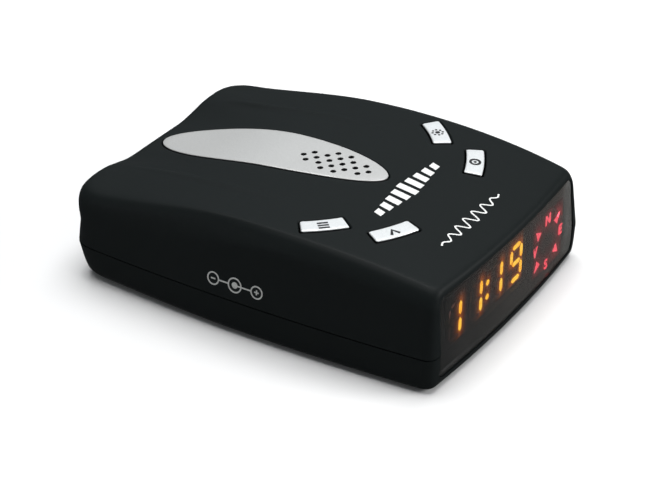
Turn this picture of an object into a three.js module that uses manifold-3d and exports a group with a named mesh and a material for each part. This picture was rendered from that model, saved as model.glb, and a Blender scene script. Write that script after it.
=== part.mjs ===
// Dash-top radar detector: an arched two-piece casing with a smoked display window at the
// driver's end, four silver keys, a perforated speaker plate and the electronics inside.
// Millimetres. +X is the driver's right, +Y points forward to the windscreen, +Z is up.
// The origin is under the middle of the unit, on the surface that it stands on.
import * as THREE from "three";
import { mergeVertices } from "three/addons/utils/BufferGeometryUtils.js";
import Module from "manifold-3d";

const wasm = await Module();
wasm.setup();

// ---- driving dimensions -------------------------------------------------------------
const WIDTH = 77;                // widest part of the casing, at the parting line
const LENGTH = 102.7;            // display face to forward end
const HEIGHT = 28.4;             // top of the casing above its underside
const WALL = 2.0;                // casing wall
const PARTING_Z = 8.8;           // height of the line between the two casing halves
const PARTING_GAP = 0.3;         // shadow gap at that line
const FIT = 0.3;                 // clearance left between pieces that touch
const BOARD = 1.2;               // thickness of every circuit board

// Places are measured from the display face, the forward end and the sides.
const near = -LENGTH / 2;
const forward = LENGTH / 2;
const side = WIDTH / 2;

const FRONT_DROP = 4.4;          // fall of the top towards the display
const FORWARD_DROP = 6.0;        // fall of the top towards the forward end
const CROWN_Y = near + 47.35;    // place of the highest line across the top
const VALLEY = { depth: 2.8, startY: near + 55.35, inner: 10, outer: 24 };
const FACET = { near: 4.0, forward: 9.2 };      // height of the side chamfer at both ends

const PLATE = {
  nearY: near + 34.45,
  wideY: near + 71.65,
  forwardY: forward - 3.85,
  half: 9.2,
  thick: 1.1,
  proud: 0.25,
};
const SOUND_HOLE = { radius: 0.62, rowPitch: 2.06, pitch: 3.55, edge: 5.6 };
const SOUND_ROWS = [2, 5, 6, 5, 2];

const KEY_CENTRE_Y = near + 62.05;      // the keys lie on arcs about this point
const KEYS = {
  far: { x: side - 12.1, y: near + 36.0, halfAngle: 8.2, width: 4.5 },
  near: { x: side - 19.2, y: near + 21.8, halfAngle: 7.2, width: 4.3 },
};
const KEY = { clearance: 0.4, proud: 0.4, lip: 0.8, lipThick: 0.8, play: 0.1 };
const KEY_TRAVEL = 0.4;          // stroke of a key and of the switch under it
const SWITCH = { side: 6.2, tall: 3.2, plunger: 1.6, plungerProud: 0.8, plungerLong: 2.4 };

const WINDOW = { bottomZ: 2.5, topZ: 22.5, sideBottom: 5.5, sideTop: 6.3, corner: 2.0 };
const FACE_BOW = 1.5;            // how far the display face falls back at its corners
const LENS = { recess: 0.35, thick: 1.2 };
const BEZEL_THICK = 1.0;
const MODULE_DEEP = 4.6;
const COMPASS = { margin: 2.5, width: 16.4, bottomZ: 2.8, topZ: 18.4 };
const CLOCK = { margin: 3.7, gap: 4.7, bottomZ: 7, topZ: 20.6 };

const SCREW = { shank: 1.1, head: 2.4, headTall: 1.6, long: 12, recess: 1.9 };
const POST = { radius: 2.8, bore: SCREW.shank + FIT };
const POSTS = mirrored([[side - 8, near + 15.35], [side - 9, forward - 11.35]]);
const FOOT = { radius: 4.2, tall: 1.3, proud: 0.6 };
const FEET = mirrored([[side - 11.5, near + 8.35], [side - 14.5, forward - 7.35]]);
const LABEL = { width: 44, deep: 26, thick: 0.3, y: 6, proud: 0.1 };

const MAIN_BOARD = { z: 6.0, sideMargin: 7.5, forwardMargin: 7.35 };
const KEY_BOARD = { sideMargin: 8.5, postGap: 0.4, forwardReach: 5.2 };
const DISPLAY_BOARD = { sideMargin: 7.5, bottomZ: 4, topZ: 21 };
const HEADER_DEEP = 2.5;

const SPEAKER = { radius: 10.2, tall: 3.3, rim: 1.2 };
const MAGNET = { radius: 5, tall: 2.6 };
const GPS = { x: 4, side: 18, boardSide: 20, tall: 3.0, speakerGap: 0.7 };
const HORN = {
  leftMargin: 26.5,
  rightMargin: 18.5,
  speakerGap: 6.2,
  forwardMargin: 6.35,
  wall: 1.4,
  throat: 9,
};
const SHIELD = { width: 22, long: 11.7, tall: 6 };
const LASER = { width: 8, bottomZ: 9.4, topZ: 16.4 };
const SOCKET = { y: 16, width: 8, tall: 3.9, deep: 7.5, lip: 0.5, inset: 1.5 };

// The same places on both sides of the centreline.
function mirrored(places) {
  return places.flatMap(([x, y]) => [[-x, y], [x, y]]);
}

// ---- solids and booleans ------------------------------------------------------------
function toSolid(geometry) {
  const bare = geometry.clone();
  bare.deleteAttribute("normal");
  bare.deleteAttribute("uv");
  const merged = mergeVertices(bare, 1e-4);
  return new wasm.Manifold(new wasm.Mesh({
    numProp: 3,
    vertProperties: new Float32Array(merged.attributes.position.array),
    triVerts: new Uint32Array(merged.index.array),
  }));
}

function toGeometry(solid) {
  const mesh = solid.getMesh();
  const geometry = new THREE.BufferGeometry();
  geometry.setAttribute("position", new THREE.BufferAttribute(mesh.vertProperties, 3));
  geometry.setIndex(new THREE.BufferAttribute(mesh.triVerts, 1));
  geometry.computeVertexNormals();
  return geometry;
}

function moved(geometry, x, y, z) {
  return geometry.translate(x, y, z);
}

function boxSolid(x0, x1, y0, y1, z0, z1) {
  const box = new THREE.BoxGeometry(x1 - x0, y1 - y0, z1 - z0);
  return toSolid(moved(box, (x0 + x1) / 2, (y0 + y1) / 2, (z0 + z1) / 2));
}

function postSolid(x, y, z0, z1, radius, sides = 16) {
  const post = new THREE.CylinderGeometry(radius, radius, z1 - z0, sides);
  return toSolid(moved(post.rotateX(Math.PI / 2), x, y, (z0 + z1) / 2));
}

function prismSolid(shape, z0, z1, curveSegments = 6) {
  const prism = new THREE.ExtrudeGeometry(shape, {
    depth: z1 - z0,
    bevelEnabled: false,
    curveSegments,
  });
  return toSolid(moved(prism, 0, 0, z0));
}

// ---- the casing's outer form --------------------------------------------------------
function smooth(from, to, value) {
  const t = THREE.MathUtils.clamp((value - from) / (to - from), 0, 1);
  return t * t * (3 - 2 * t);
}

// Height of the raised side crests along the length.
function crestZ(y) {
  if (y < CROWN_Y) {
    return HEIGHT - FRONT_DROP * Math.pow((CROWN_Y - y) / (CROWN_Y - near), 2.4);
  }
  return HEIGHT - FORWARD_DROP * Math.pow((y - CROWN_Y) / (forward - CROWN_Y), 2.6);
}

// Height of the top surface: the crests with the trough between them.
function topZ(x, y) {
  const depth = VALLEY.depth * smooth(VALLEY.startY, forward, y);
  const rise = smooth(VALLEY.inner, VALLEY.outer, Math.abs(x));
  return crestZ(y) - depth * (1 - rise);
}

// Lower crease of the side chamfer, deepest at the forward corners.
function creaseZ(y) {
  const tall = THREE.MathUtils.lerp(FACET.near, FACET.forward, smooth(near + 36, forward - 10, y));
  return crestZ(y) - tall;
}

// Bowed outline at the parting line, right half from the display face round to the forward end.
function planPoints() {
  const nearCorner = { x: side - 4.2, y: near + FACE_BOW };
  const nearSide = { x: side - 1.6, y: near + 4.0 };
  const farSide = { x: side - 1.7, y: forward - 8.0 };
  const farCorner = { x: side - 9.0, y: forward - 0.6 };
  const path = new THREE.Path();
  path.moveTo(0, near);
  path.quadraticCurveTo(nearCorner.x / 2, near, nearCorner.x, nearCorner.y);
  path.quadraticCurveTo(nearSide.x - 0.3, nearCorner.y + 0.2, nearSide.x, nearSide.y);
  path.quadraticCurveTo(side + 1.7, near + 48.35, farSide.x, farSide.y);
  path.quadraticCurveTo(farSide.x - 0.5, farCorner.y + 0.1, farCorner.x, farCorner.y);
  path.quadraticCurveTo(farCorner.x / 2, forward, 0, forward);
  const right = path.getPoints(6);
  const left = right.slice(1, -1).reverse().map((p) => new THREE.Vector2(-p.x, p.y));
  return right.concat(left);
}

const PLAN = planPoints();

// One ring of the casing: the outline pulled in at the sides, at the forward corners, at the
// display face and at the forward end, each point at the height that the level gives for it.
function ring(pull, wall, level) {
  const [flank, corner, face, end] = pull;
  return PLAN.map((p) => {
    const across = THREE.MathUtils.lerp(flank, corner, smooth(0, forward, p.y)) + wall;
    const along = (p.y < 0 ? face : end) + wall;
    const x = p.x * (1 - across / side);
    const y = p.y * (1 - along / forward);
    return new THREE.Vector3(x, y, level(x, y));
  });
}

// Casing form from the underside to the top; wall moves every face inwards by that much.
function casingRings(wall) {
  const facet = (x, y) => THREE.MathUtils.lerp(creaseZ(y), crestZ(y), 0.5) - wall / 2;
  const top = (x, y) => topZ(x, y) - wall;
  const lowered = (drop) => (x, y) => top(x, y) - drop;
  return [
    ring([1.2, 1.2, 1.2, 1.8], wall, () => wall),
    ring([0.6, 0.6, 0.6, 1.2], wall, () => wall + 0.4),
    ring([0.4, 0.4, 0.4, 0.9], wall, () => wall + 1.3),
    ring([0, 0, 0, 0], wall, () => PARTING_Z),
    ring([2.0, 1.5, 0.8, 1.4], wall, (x, y) => creaseZ(y)),
    ring([3.1, 1.2, 1.1, 1.2], wall, facet),
    ring([4.6, 1.8, 1.5, 2.0], wall, lowered(1.3)),
    ring([5.9, 3.1, 2.3, 3.2], wall, lowered(0.35)),
    ring([8.0, 5.6, 4.0, 6.0], wall, top),
    ring([12, 11.5, 8, 11], 0, top),
    ring([17, 17, 15, 17], 0, top),
    ring([22.5, 22.5, 24, 26], 0, top),
    ring([29, 29, 35, 38], 0, top),
  ];
}

function loftSolid(rings, bottomCentre, topCentre) {
  const count = PLAN.length;
  const points = rings.flat();
  points.push(bottomCentre, topCentre);
  const low = points.length - 2;
  const high = points.length - 1;
  const index = [];
  for (let i = 0; i < count; i += 1) {
    const j = (i + 1) % count;
    for (let r = 0; r < rings.length - 1; r += 1) {
      const a = r * count + i;
      const b = r * count + j;
      index.push(a, b, b + count);
      index.push(a, b + count, a + count);
    }
    const last = (rings.length - 1) * count;
    index.push(low, j, i);
    index.push(high, last + i, last + j);
  }
  const geometry = new THREE.BufferGeometry().setFromPoints(points);
  geometry.setIndex(index);
  return toSolid(geometry);
}

function casingSolid(wall) {
  const low = new THREE.Vector3(0, 0, wall);
  const high = new THREE.Vector3(0, 0, topZ(0, 0) - wall);
  return loftSolid(casingRings(wall), low, high);
}

const outer = casingSolid(0);
const cavity = casingSolid(WALL);
const inside = casingSolid(WALL + FIT);      // what loose pieces inside may fill

// Highest place that a loose piece inside may reach over a square or round area.
function ceilingZ(x, y, reach) {
  const spots = [[0, 0], [-1, -1], [1, -1], [-1, 1], [1, 1], [0, 1], [0, -1]];
  const heights = spots.map(([i, j]) => topZ(x + i * reach, y + j * reach));
  return Math.min(...heights) - WALL - FIT;
}

// A skin that follows the top surface, between two depths below it.
function topSkin(shape, from, to, curveSegments) {
  const column = prismSolid(shape, PARTING_Z, HEIGHT + 5, curveSegments);
  return column.intersect(outer.translate(0, 0, -from)).subtract(outer.translate(0, 0, -to));
}

// ---- outlines -----------------------------------------------------------------------
// Long leaf-shaped outline of the speaker plate, grown by a clearance.
function plateShape(grow) {
  const points = [];
  const steps = 20;
  for (let i = 0; i < steps; i += 1) {
    const angle = (i / steps) * 2 * Math.PI;
    const reach = Math.cos(angle) < 0 ? PLATE.wideY - PLATE.nearY : PLATE.forwardY - PLATE.wideY;
    const x = (PLATE.half + grow) * Math.sin(angle);
    const y = PLATE.wideY + (reach + grow) * Math.cos(angle);
    points.push(new THREE.Vector2(x, y));
  }
  return new THREE.Shape(points);
}

function keyPlace({ x, y }, hand) {
  return { x: hand * x, y, z: topZ(x, y) };
}

// A stretch of the arc that a key lies on, between two radii; hand is 1 on the right, -1 on the left.
function arcShape(key, hand, inner, outerRadius, grow) {
  const slope = Math.atan2(key.y - KEY_CENTRE_Y, key.x);
  const middle = hand > 0 ? slope : Math.PI - slope;
  const spread = THREE.MathUtils.degToRad(key.halfAngle) + grow / keyRadius(key);
  const shape = new THREE.Shape();
  shape.absarc(0, KEY_CENTRE_Y, outerRadius, middle - spread, middle + spread, false);
  shape.absarc(0, KEY_CENTRE_Y, inner, middle + spread, middle - spread, true);
  return shape;
}

function keyRadius({ x, y }) {
  return Math.hypot(x, y - KEY_CENTRE_Y);
}

function keyShape(key, hand, grow) {
  const reach = key.width / 2 + grow;
  return arcShape(key, hand, keyRadius(key) - reach, keyRadius(key) + reach, grow);
}

// The lip that holds a key in from below; it runs round the inner half of the key only.
function lipShape(key, hand) {
  const inner = keyRadius(key) - key.width / 2 - KEY.lip;
  return arcShape(key, hand, inner, keyRadius(key), KEY.lip);
}

// Window outline in the plane of the display face, as a prism along Y.
function windowSolid(grow, y0, y1) {
  const lowZ = WINDOW.bottomZ - grow;
  const highZ = WINDOW.topZ + grow;
  const lowX = side - WINDOW.sideBottom + grow;
  const highX = side - WINDOW.sideTop + grow;
  const r = WINDOW.corner + grow;
  const shape = new THREE.Shape();
  shape.moveTo(-lowX + r, lowZ);
  shape.lineTo(lowX - r, lowZ);
  shape.quadraticCurveTo(lowX, lowZ, lowX, lowZ + r);
  shape.lineTo(highX, highZ - r);
  shape.quadraticCurveTo(highX, highZ, highX - r, highZ);
  shape.lineTo(-highX + r, highZ);
  shape.quadraticCurveTo(-highX, highZ, -highX, highZ - r);
  shape.lineTo(-lowX, lowZ + r);
  shape.quadraticCurveTo(-lowX, lowZ, -lowX + r, lowZ);
  const prism = new THREE.ExtrudeGeometry(shape, {
    depth: y1 - y0,
    bevelEnabled: false,
    curveSegments: 3,
  });
  return toSolid(moved(prism.rotateX(Math.PI / 2), 0, y1, 0));
}

// ---- assembly -----------------------------------------------------------------------
const group = new THREE.Group();
group.position.z = FOOT.proud;

const FINISH = {
  casing: { color: 0x22272a, roughness: 0.6, metalness: 0 },
  silver: { color: 0xc6c8c8, roughness: 0.35, metalness: 0.6 },
  key: { color: 0xd6dadc, roughness: 0.3, metalness: 0.5 },
  smoked: { color: 0x3a3532, roughness: 0.15, metalness: 0 },
  black: { color: 0x111213, roughness: 0.5, metalness: 0 },
  amber: { color: 0xffa200, roughness: 0.4, metalness: 0 },
  red: { color: 0xe0243c, roughness: 0.4, metalness: 0 },
  board: { color: 0x1d5a34, roughness: 0.5, metalness: 0 },
  steel: { color: 0xaab0b4, roughness: 0.35, metalness: 1 },
  cast: { color: 0x9a9c9e, roughness: 0.5, metalness: 1 },
  ceramic: { color: 0xc9b79a, roughness: 0.6, metalness: 0 },
  rubber: { color: 0x151515, roughness: 0.9, metalness: 0 },
  paper: { color: 0x2a2a2c, roughness: 0.3, metalness: 0 },
};

function add(name, shape, finish) {
  const geometry = shape.isBufferGeometry ? shape : toGeometry(shape);
  const mesh = new THREE.Mesh(geometry, new THREE.MeshStandardMaterial(FINISH[finish]));
  mesh.name = name;
  group.add(mesh);
  return mesh;
}

// Every key: which arc it lies on and on which hand of the centreline.
const KEY_LIST = [
  { name: "menu", arc: KEYS.far, hand: -1 },
  { name: "select", arc: KEYS.near, hand: -1 },
  { name: "mute", arc: KEYS.near, hand: 1 },
  { name: "dim", arc: KEYS.far, hand: 1 },
];

// Stack behind the window, as depths from the display face and as places along the length.
const lensBack = LENS.recess + LENS.thick;
const bezelBack = lensBack + FIT + BEZEL_THICK;
const openingY = near + FACE_BOW + bezelBack + FIT;
const moduleY = near + FACE_BOW + lensBack;
const displayBoardY = moduleY + MODULE_DEEP + FIT;
const windowHalf = side - WINDOW.sideTop;
const compassLeft = windowHalf - COMPASS.margin - COMPASS.width;
const MODULES = {
  clock_display: { ...CLOCK, left: CLOCK.margin - windowHalf, right: compassLeft - CLOCK.gap },
  compass_display: { ...COMPASS, left: compassLeft, right: windowHalf - COMPASS.margin },
};

// Sound holes in five short rows along the length, alternate rows half a pitch apart.
const longestRow = Math.max(...SOUND_ROWS);
const firstHoleY = PLATE.nearY + SOUND_HOLE.edge;

function soundHoles() {
  return SOUND_ROWS.flatMap((count, row) => {
    const x = (row - (SOUND_ROWS.length - 1) / 2) * SOUND_HOLE.rowPitch;
    const start = firstHoleY + ((longestRow - count) / 2) * SOUND_HOLE.pitch;
    return Array.from({ length: count }, (_, i) => [x, start + i * SOUND_HOLE.pitch]);
  });
}

// Heights inside, worked down from the top surface.
const speakerY = firstHoleY + ((longestRow - 1) / 2) * SOUND_HOLE.pitch;
const speakerTop = ceilingZ(0, speakerY, SPEAKER.radius);
const frameZ = speakerTop - SPEAKER.tall;
const lowestKeyZ = Math.min(...KEY_LIST.map(({ arc, hand }) => keyPlace(arc, hand).z));
const lipDrop = WALL + FIT + KEY.play + KEY.lipThick;      // casing top to the lip's underside
const plungerTop = lowestKeyZ - lipDrop - FIT;
const switchZ = plungerTop - SWITCH.plungerProud - SWITCH.tall;
const keyBoardZ = switchZ - FIT - BOARD;
const gpsY = speakerY + SPEAKER.radius + GPS.speakerGap + GPS.boardSide / 2;
const gpsStack = FIT + BOARD + FIT + GPS.tall;      // the antenna on its board, on the horn
const deckZ = MAIN_BOARD.z + BOARD + FIT;
const hornY = speakerY + SPEAKER.radius + HORN.speakerGap;
const hornEnd = forward - HORN.forwardMargin;
const hornTop = Math.min(ceilingZ(GPS.x, gpsY, GPS.side / 2) - gpsStack, ceilingZ(0, hornEnd, 0));
const gpsBoardZ = hornTop + FIT;
const gpsTop = hornTop + gpsStack;
const hornLeft = HORN.leftMargin - side;
const hornRight = side - HORN.rightMargin;
const hornX = (hornLeft + hornRight) / 2;
const laserX = (hornLeft - Math.abs(POSTS.at(-1)[0]) + POST.radius) / 2;      // beside the far post

// Holes shared by both casing halves: window, power socket and forward laser window.
function casingCuts() {
  const reach = 6;
  const opening = windowSolid(FIT, near - 1, openingY);
  const port = boxSolid(
    side - reach, side + 2,
    SOCKET.y - SOCKET.width / 2 - FIT, SOCKET.y + SOCKET.width / 2 + FIT,
    deckZ - FIT, deckZ + SOCKET.tall + FIT,
  );
  const laser = boxSolid(
    laserX - LASER.width / 2 - FIT, laserX + LASER.width / 2 + FIT,
    forward - reach - 2, forward + 2,
    LASER.bottomZ - FIT, LASER.topZ + FIT,
  );
  return opening.add(port).add(laser);
}

const cuts = casingCuts();
const walls = outer.subtract(cavity).subtract(cuts);

function upperShell() {
  const above = boxSolid(-side - 5, side + 5, near - 5, forward + 5,
    PARTING_Z + PARTING_GAP / 2, HEIGHT + 5);
  let shell = walls.intersect(above);
  for (const [x, y] of POSTS) {
    const post = postSolid(x, y, PARTING_Z + PARTING_GAP / 2, HEIGHT, POST.radius);
    shell = shell.add(post.intersect(outer.translate(0, 0, -WALL / 2)));
  }
  for (const [x, y] of POSTS) {
    shell = shell.subtract(postSolid(x, y, 0, SCREW.recess + SCREW.long + 1, POST.bore, 12));
  }
  shell = shell.subtract(topSkin(plateShape(FIT), -1, PLATE.thick - PLATE.proud + FIT, 6));
  const mouth = postSolid(0, speakerY, speakerTop, HEIGHT + 1, SPEAKER.radius - SPEAKER.rim);
  shell = shell.subtract(mouth.intersect(prismSolid(plateShape(-1), PARTING_Z, HEIGHT + 1)));
  for (const { arc, hand } of KEY_LIST) {
    shell = shell.subtract(prismSolid(keyShape(arc, hand, KEY.clearance), keyBoardZ, HEIGHT + 2));
  }
  return shell;
}

function lowerShell() {
  const below = boxSolid(-side - 5, side + 5, near - 5, forward + 5,
    -1, PARTING_Z - PARTING_GAP / 2);
  let shell = walls.intersect(below);
  for (const [x, y] of POSTS) {
    shell = shell.add(postSolid(x, y, WALL / 2, PARTING_Z - PARTING_GAP / 2, POST.radius + 0.4));
  }
  for (const [x, y] of mirrored([[15, near + 21.35], [22, forward - 17.35]])) {
    shell = shell.add(postSolid(x, y, WALL / 2, MAIN_BOARD.z - FIT, 2.2, 12));
  }
  for (const [x, y] of POSTS) {
    shell = shell.subtract(postSolid(x, y, -1, PARTING_Z + 1, POST.bore, 12));
    shell = shell.subtract(postSolid(x, y, -1, SCREW.recess + FIT, SCREW.head + FIT, 16));
  }
  const footRecess = FOOT.tall - FOOT.proud + FIT;
  for (const [x, y] of FEET) {
    shell = shell.subtract(postSolid(x, y, -1, footRecess, FOOT.radius + FIT, 20));
  }
  const labelRecess = LABEL.thick + LABEL.proud + FIT;
  return shell.subtract(boxSolid(
    -LABEL.width / 2 - FIT, LABEL.width / 2 + FIT,
    LABEL.y - LABEL.deep / 2 - FIT, LABEL.y + LABEL.deep / 2 + FIT,
    -1, labelRecess,
  ));
}

function speakerPlate() {
  let plate = topSkin(plateShape(0), -PLATE.proud, PLATE.thick - PLATE.proud, 6);
  for (const [x, y] of soundHoles()) {
    plate = plate.subtract(postSolid(x, y, PARTING_Z, HEIGHT + 2, SOUND_HOLE.radius, 8));
  }
  return plate;
}

add("upper_shell", upperShell(), "casing");
add("lower_shell", lowerShell(), "casing");
add("speaker_plate", speakerPlate(), "silver");

// A sheet that fills the window opening and follows the bow of the display face.
function faceSheet(from, to) {
  const front = outer.translate(0, from, 0);
  return windowSolid(0, near - 1, openingY).intersect(front).subtract(outer.translate(0, to, 0));
}

// Dark mask behind the window; the display modules reach into it.
function displayBezel() {
  let bezel = faceSheet(lensBack + FIT, bezelBack);
  for (const module of Object.values(MODULES)) {
    bezel = bezel.subtract(boxSolid(
      module.left - FIT, module.right + FIT, near, openingY,
      module.bottomZ - FIT, module.topZ + FIT,
    ));
  }
  return bezel;
}

function displayBoard() {
  const reach = side - DISPLAY_BOARD.sideMargin;
  return boxSolid(-reach, reach, displayBoardY, displayBoardY + BOARD,
    DISPLAY_BOARD.bottomZ, DISPLAY_BOARD.topZ).intersect(inside);
}

add("display_window", faceSheet(LENS.recess, lensBack), "smoked");
add("display_bezel", displayBezel(), "black");
for (const [name, module] of Object.entries(MODULES)) {
  const block = boxSolid(module.left, module.right, moduleY, moduleY + MODULE_DEEP,
    module.bottomZ, module.topZ);
  add(name, block.intersect(inside), name === "clock_display" ? "amber" : "red");
}
add("display_board", displayBoard(), "board");

// Keys, the plungers that they press and the switches on the key board.
for (const { name, arc, hand } of KEY_LIST) {
  const place = keyPlace(arc, hand);
  const capTop = place.z + KEY.proud;
  const lipZ = place.z - lipDrop;
  const lipTop = lipZ + KEY.lipThick;
  const lip = prismSolid(lipShape(arc, hand), lipZ, lipTop);
  const cap = prismSolid(keyShape(arc, hand, 0), lipZ, capTop)
    .add(lip.intersect(inside))
    .add(postSolid(place.x, place.y, plungerTop + FIT, lipTop, SWITCH.plunger, 12));
  add(`key_${name}`, cap, "key");
  const plungerBottom = plungerTop - SWITCH.plungerLong;
  add(`plunger_${name}`,
    postSolid(place.x, place.y, plungerBottom, plungerTop, SWITCH.plunger, 12), "black");
  const reach = SWITCH.side / 2;
  const body = boxSolid(place.x - reach, place.x + reach, place.y - reach, place.y + reach,
    switchZ, switchZ + SWITCH.tall);
  const well = postSolid(place.x, place.y, plungerBottom - KEY_TRAVEL - FIT, switchZ + SWITCH.tall + 1,
    SWITCH.plunger + FIT, 12);
  add(`switch_${name}`, body.subtract(well), "black");
}

// Key board: from behind the near screw posts to just past the far switches.
const keyBoardNear = near + 15.35 + POST.radius + KEY_BOARD.postGap;

function keyBoard() {
  const reach = side - KEY_BOARD.sideMargin;
  const end = keyPlace(KEYS.far, 1).y + KEY_BOARD.forwardReach;
  const board = boxSolid(-reach, reach, keyBoardNear, end, keyBoardZ, keyBoardZ + BOARD);
  return board.subtract(postSolid(0, speakerY, keyBoardZ - 1, keyBoardZ + BOARD + 1,
    SPEAKER.radius + 2, 24));
}

const mainBoardNear = displayBoardY + BOARD + 1.2;

function mainBoard() {
  const reach = side - MAIN_BOARD.sideMargin;
  const { z } = MAIN_BOARD;
  let board = boxSolid(-reach, reach, mainBoardNear, forward - MAIN_BOARD.forwardMargin, z, z + BOARD);
  for (const [x, y] of POSTS) {
    board = board.subtract(postSolid(x, y, z - 1, z + BOARD + 1, POST.radius + 0.9, 12));
  }
  return board;
}

add("key_board", keyBoard(), "board");
add("main_board", mainBoard(), "board");
add("display_header", boxSolid(-12, 12, displayBoardY + BOARD + FIT, mainBoardNear + 3,
  deckZ, deckZ + HEADER_DEEP), "black");
add("key_header", boxSolid(-8, 8, keyBoardNear + 1.3, keyBoardNear + 1.3 + HEADER_DEEP,
  deckZ, keyBoardZ - FIT), "black");
add("processor", boxSolid(-17, -5, speakerY - 21.6, speakerY - 9.6, deckZ, deckZ + 1.4), "black");
add("gps_receiver_can", boxSolid(8, 24, speakerY - 21.6, speakerY - 8.6, deckZ, deckZ + 2.4), "steel");
add("backup_cell", postSolid(-20, speakerY + 6.4, deckZ, deckZ + 3.2, 6.2, 24), "steel");

// Horn antenna: a cast box whose mouth widens towards the forward end.
function hornAntenna() {
  const { wall, throat } = HORN;
  const x = hornX;
  const end = hornEnd;
  const width = hornRight - hornLeft;
  const tall = hornTop - deckZ;
  const body = boxSolid(hornLeft, hornRight, hornY, end, deckZ, hornTop);
  const mouth = { x: width / 2 - wall, z: tall / 2 - wall };
  const neck = { x: throat / 2, z: tall / 5 };
  const start = hornY + 6;
  const flare = new THREE.Shape();
  flare.moveTo(x - neck.x, -start);
  flare.lineTo(x - mouth.x, -end - 1);
  flare.lineTo(x + mouth.x, -end - 1);
  flare.lineTo(x + neck.x, -start);
  const side = new THREE.Shape();
  side.moveTo(start, deckZ + tall / 2 - neck.z);
  side.lineTo(end + 1, deckZ + tall / 2 - mouth.z);
  side.lineTo(end + 1, deckZ + tall / 2 + mouth.z);
  side.lineTo(start, deckZ + tall / 2 + neck.z);
  const wide = new THREE.ExtrudeGeometry(flare, { depth: tall, bevelEnabled: false });
  const high = new THREE.ExtrudeGeometry(side, { depth: width, bevelEnabled: false });
  const across = toSolid(moved(wide.rotateX(Math.PI), 0, 0, deckZ + tall));
  const turned = high.rotateY(Math.PI / 2).rotateX(Math.PI / 2);
  const upright = toSolid(moved(turned, x - width / 2, 0, 0));
  return body.subtract(across.intersect(upright));
}

add("horn_antenna", hornAntenna(), "cast");
add("rf_shield", boxSolid(hornX - SHIELD.width / 2, hornX + SHIELD.width / 2,
  hornY - FIT - SHIELD.long, hornY - FIT, deckZ, deckZ + SHIELD.tall), "steel");

function squareSolid(x, y, width, z0, z1) {
  return boxSolid(x - width / 2, x + width / 2, y - width / 2, y + width / 2, z0, z1);
}

add("gps_antenna_board",
  squareSolid(GPS.x, gpsY, GPS.boardSide, gpsBoardZ, gpsBoardZ + BOARD), "board");
add("gps_antenna",
  squareSolid(GPS.x, gpsY, GPS.side, gpsTop - GPS.tall, gpsTop), "ceramic");

// Laser receiver behind its small dark window in the forward end.
function laserLens() {
  const block = boxSolid(laserX - LASER.width / 2, laserX + LASER.width / 2,
    forward - 9, forward + 2, LASER.bottomZ, LASER.topZ);
  return block.intersect(outer.translate(0, -0.3, 0)).subtract(outer.translate(0, -0.3 - WALL, 0));
}

add("laser_lens", laserLens(), "smoked");
add("laser_sensor", boxSolid(laserX - 3, laserX + 3, forward - 13, forward - 7,
  LASER.bottomZ + 0.5, LASER.topZ - 0.5), "black");

// Loudspeaker: open frame ring, dished cone and magnet on the same axis.
function lathe(points, sides, x, y, z) {
  const profile = points.map(([r, h]) => new THREE.Vector2(r, h));
  const turned = new THREE.LatheGeometry(profile, sides).rotateX(Math.PI / 2);
  return toSolid(moved(turned, x, y, z));
}

function speakerFrame() {
  const r = SPEAKER.radius;
  const bore = r - SPEAKER.rim;
  const neck = MAGNET.radius - 1;
  const points = [
    [neck, 0], [r - 2.5, 0], [r, SPEAKER.tall - 1], [r, SPEAKER.tall], [bore, SPEAKER.tall],
    [bore - 0.6, SPEAKER.tall - 1], [r - 3.4, 0.8], [neck, 0.8], [neck, 0],
  ];
  return lathe(points, 24, 0, speakerY, frameZ);
}

function speakerCone() {
  const rim = SPEAKER.radius - SPEAKER.rim - 0.4;
  const points = [[0, 1.2], [2.6, 1.6], [rim - 0.7, 2.6], [rim, 2.9], [rim, 3.2], [rim - 0.9, 3.1],
    [2.6, 2.1], [0, 1.8]];
  return lathe(points, 24, 0, speakerY, frameZ);
}

add("speaker_frame", speakerFrame(), "steel");
add("speaker_cone", speakerCone(), "black");
add("speaker_magnet", postSolid(0, speakerY, frameZ - FIT - MAGNET.tall,
  frameZ - FIT, MAGNET.radius, 24), "steel");

// Power socket: a folded steel box, open to the right side of the casing.
function powerSocket() {
  const { lip } = SOCKET;
  const x1 = side - SOCKET.inset;
  const x0 = x1 - SOCKET.deep;
  const y0 = SOCKET.y - SOCKET.width / 2;
  const y1 = SOCKET.y + SOCKET.width / 2;
  const z1 = deckZ + SOCKET.tall;
  const tongue = boxSolid(x0 + 1, x1 - 1, y0 + 1.8, y1 - 1.8, deckZ + 1.6, z1 - 1.6);
  return boxSolid(x0, x1, y0, y1, deckZ, z1)
    .subtract(boxSolid(x0 + 1.5, x1 + 1, y0 + lip, y1 - lip, deckZ + lip, z1 - lip))
    .add(tongue);
}

add("power_socket", powerSocket(), "steel");

// Fasteners, feet and label.
function caseScrew(x, y) {
  const { shank, head, headTall, long } = SCREW;
  const z0 = SCREW.recess - headTall;
  const points = [[0, z0], [head, z0], [head, z0 + 0.6], [shank, SCREW.recess],
    [shank, SCREW.recess + long - 1.2], [0.3, SCREW.recess + long], [0, SCREW.recess + long]];
  const screw = lathe(points, 16, x, y, 0);
  const slot = boxSolid(x - head + 0.8, x + head - 0.8, y - 0.35, y + 0.35, z0 - 1, z0 + 0.7);
  const cross = boxSolid(x - 0.35, x + 0.35, y - head + 0.8, y + head - 0.8, z0 - 1, z0 + 0.7);
  return screw.subtract(slot).subtract(cross);
}

POSTS.forEach(([x, y], i) => add(`case_screw_${i + 1}`, caseScrew(x, y), "steel"));
FEET.forEach(([x, y], i) => {
  add(`rubber_foot_${i + 1}`, postSolid(x, y, -FOOT.proud, FOOT.tall - FOOT.proud, FOOT.radius, 20), "rubber");
});
add("rating_label", boxSolid(-LABEL.width / 2, LABEL.width / 2, LABEL.y - LABEL.deep / 2,
  LABEL.y + LABEL.deep / 2, LABEL.proud, LABEL.proud + LABEL.thick), "paper");

export default group;
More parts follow.
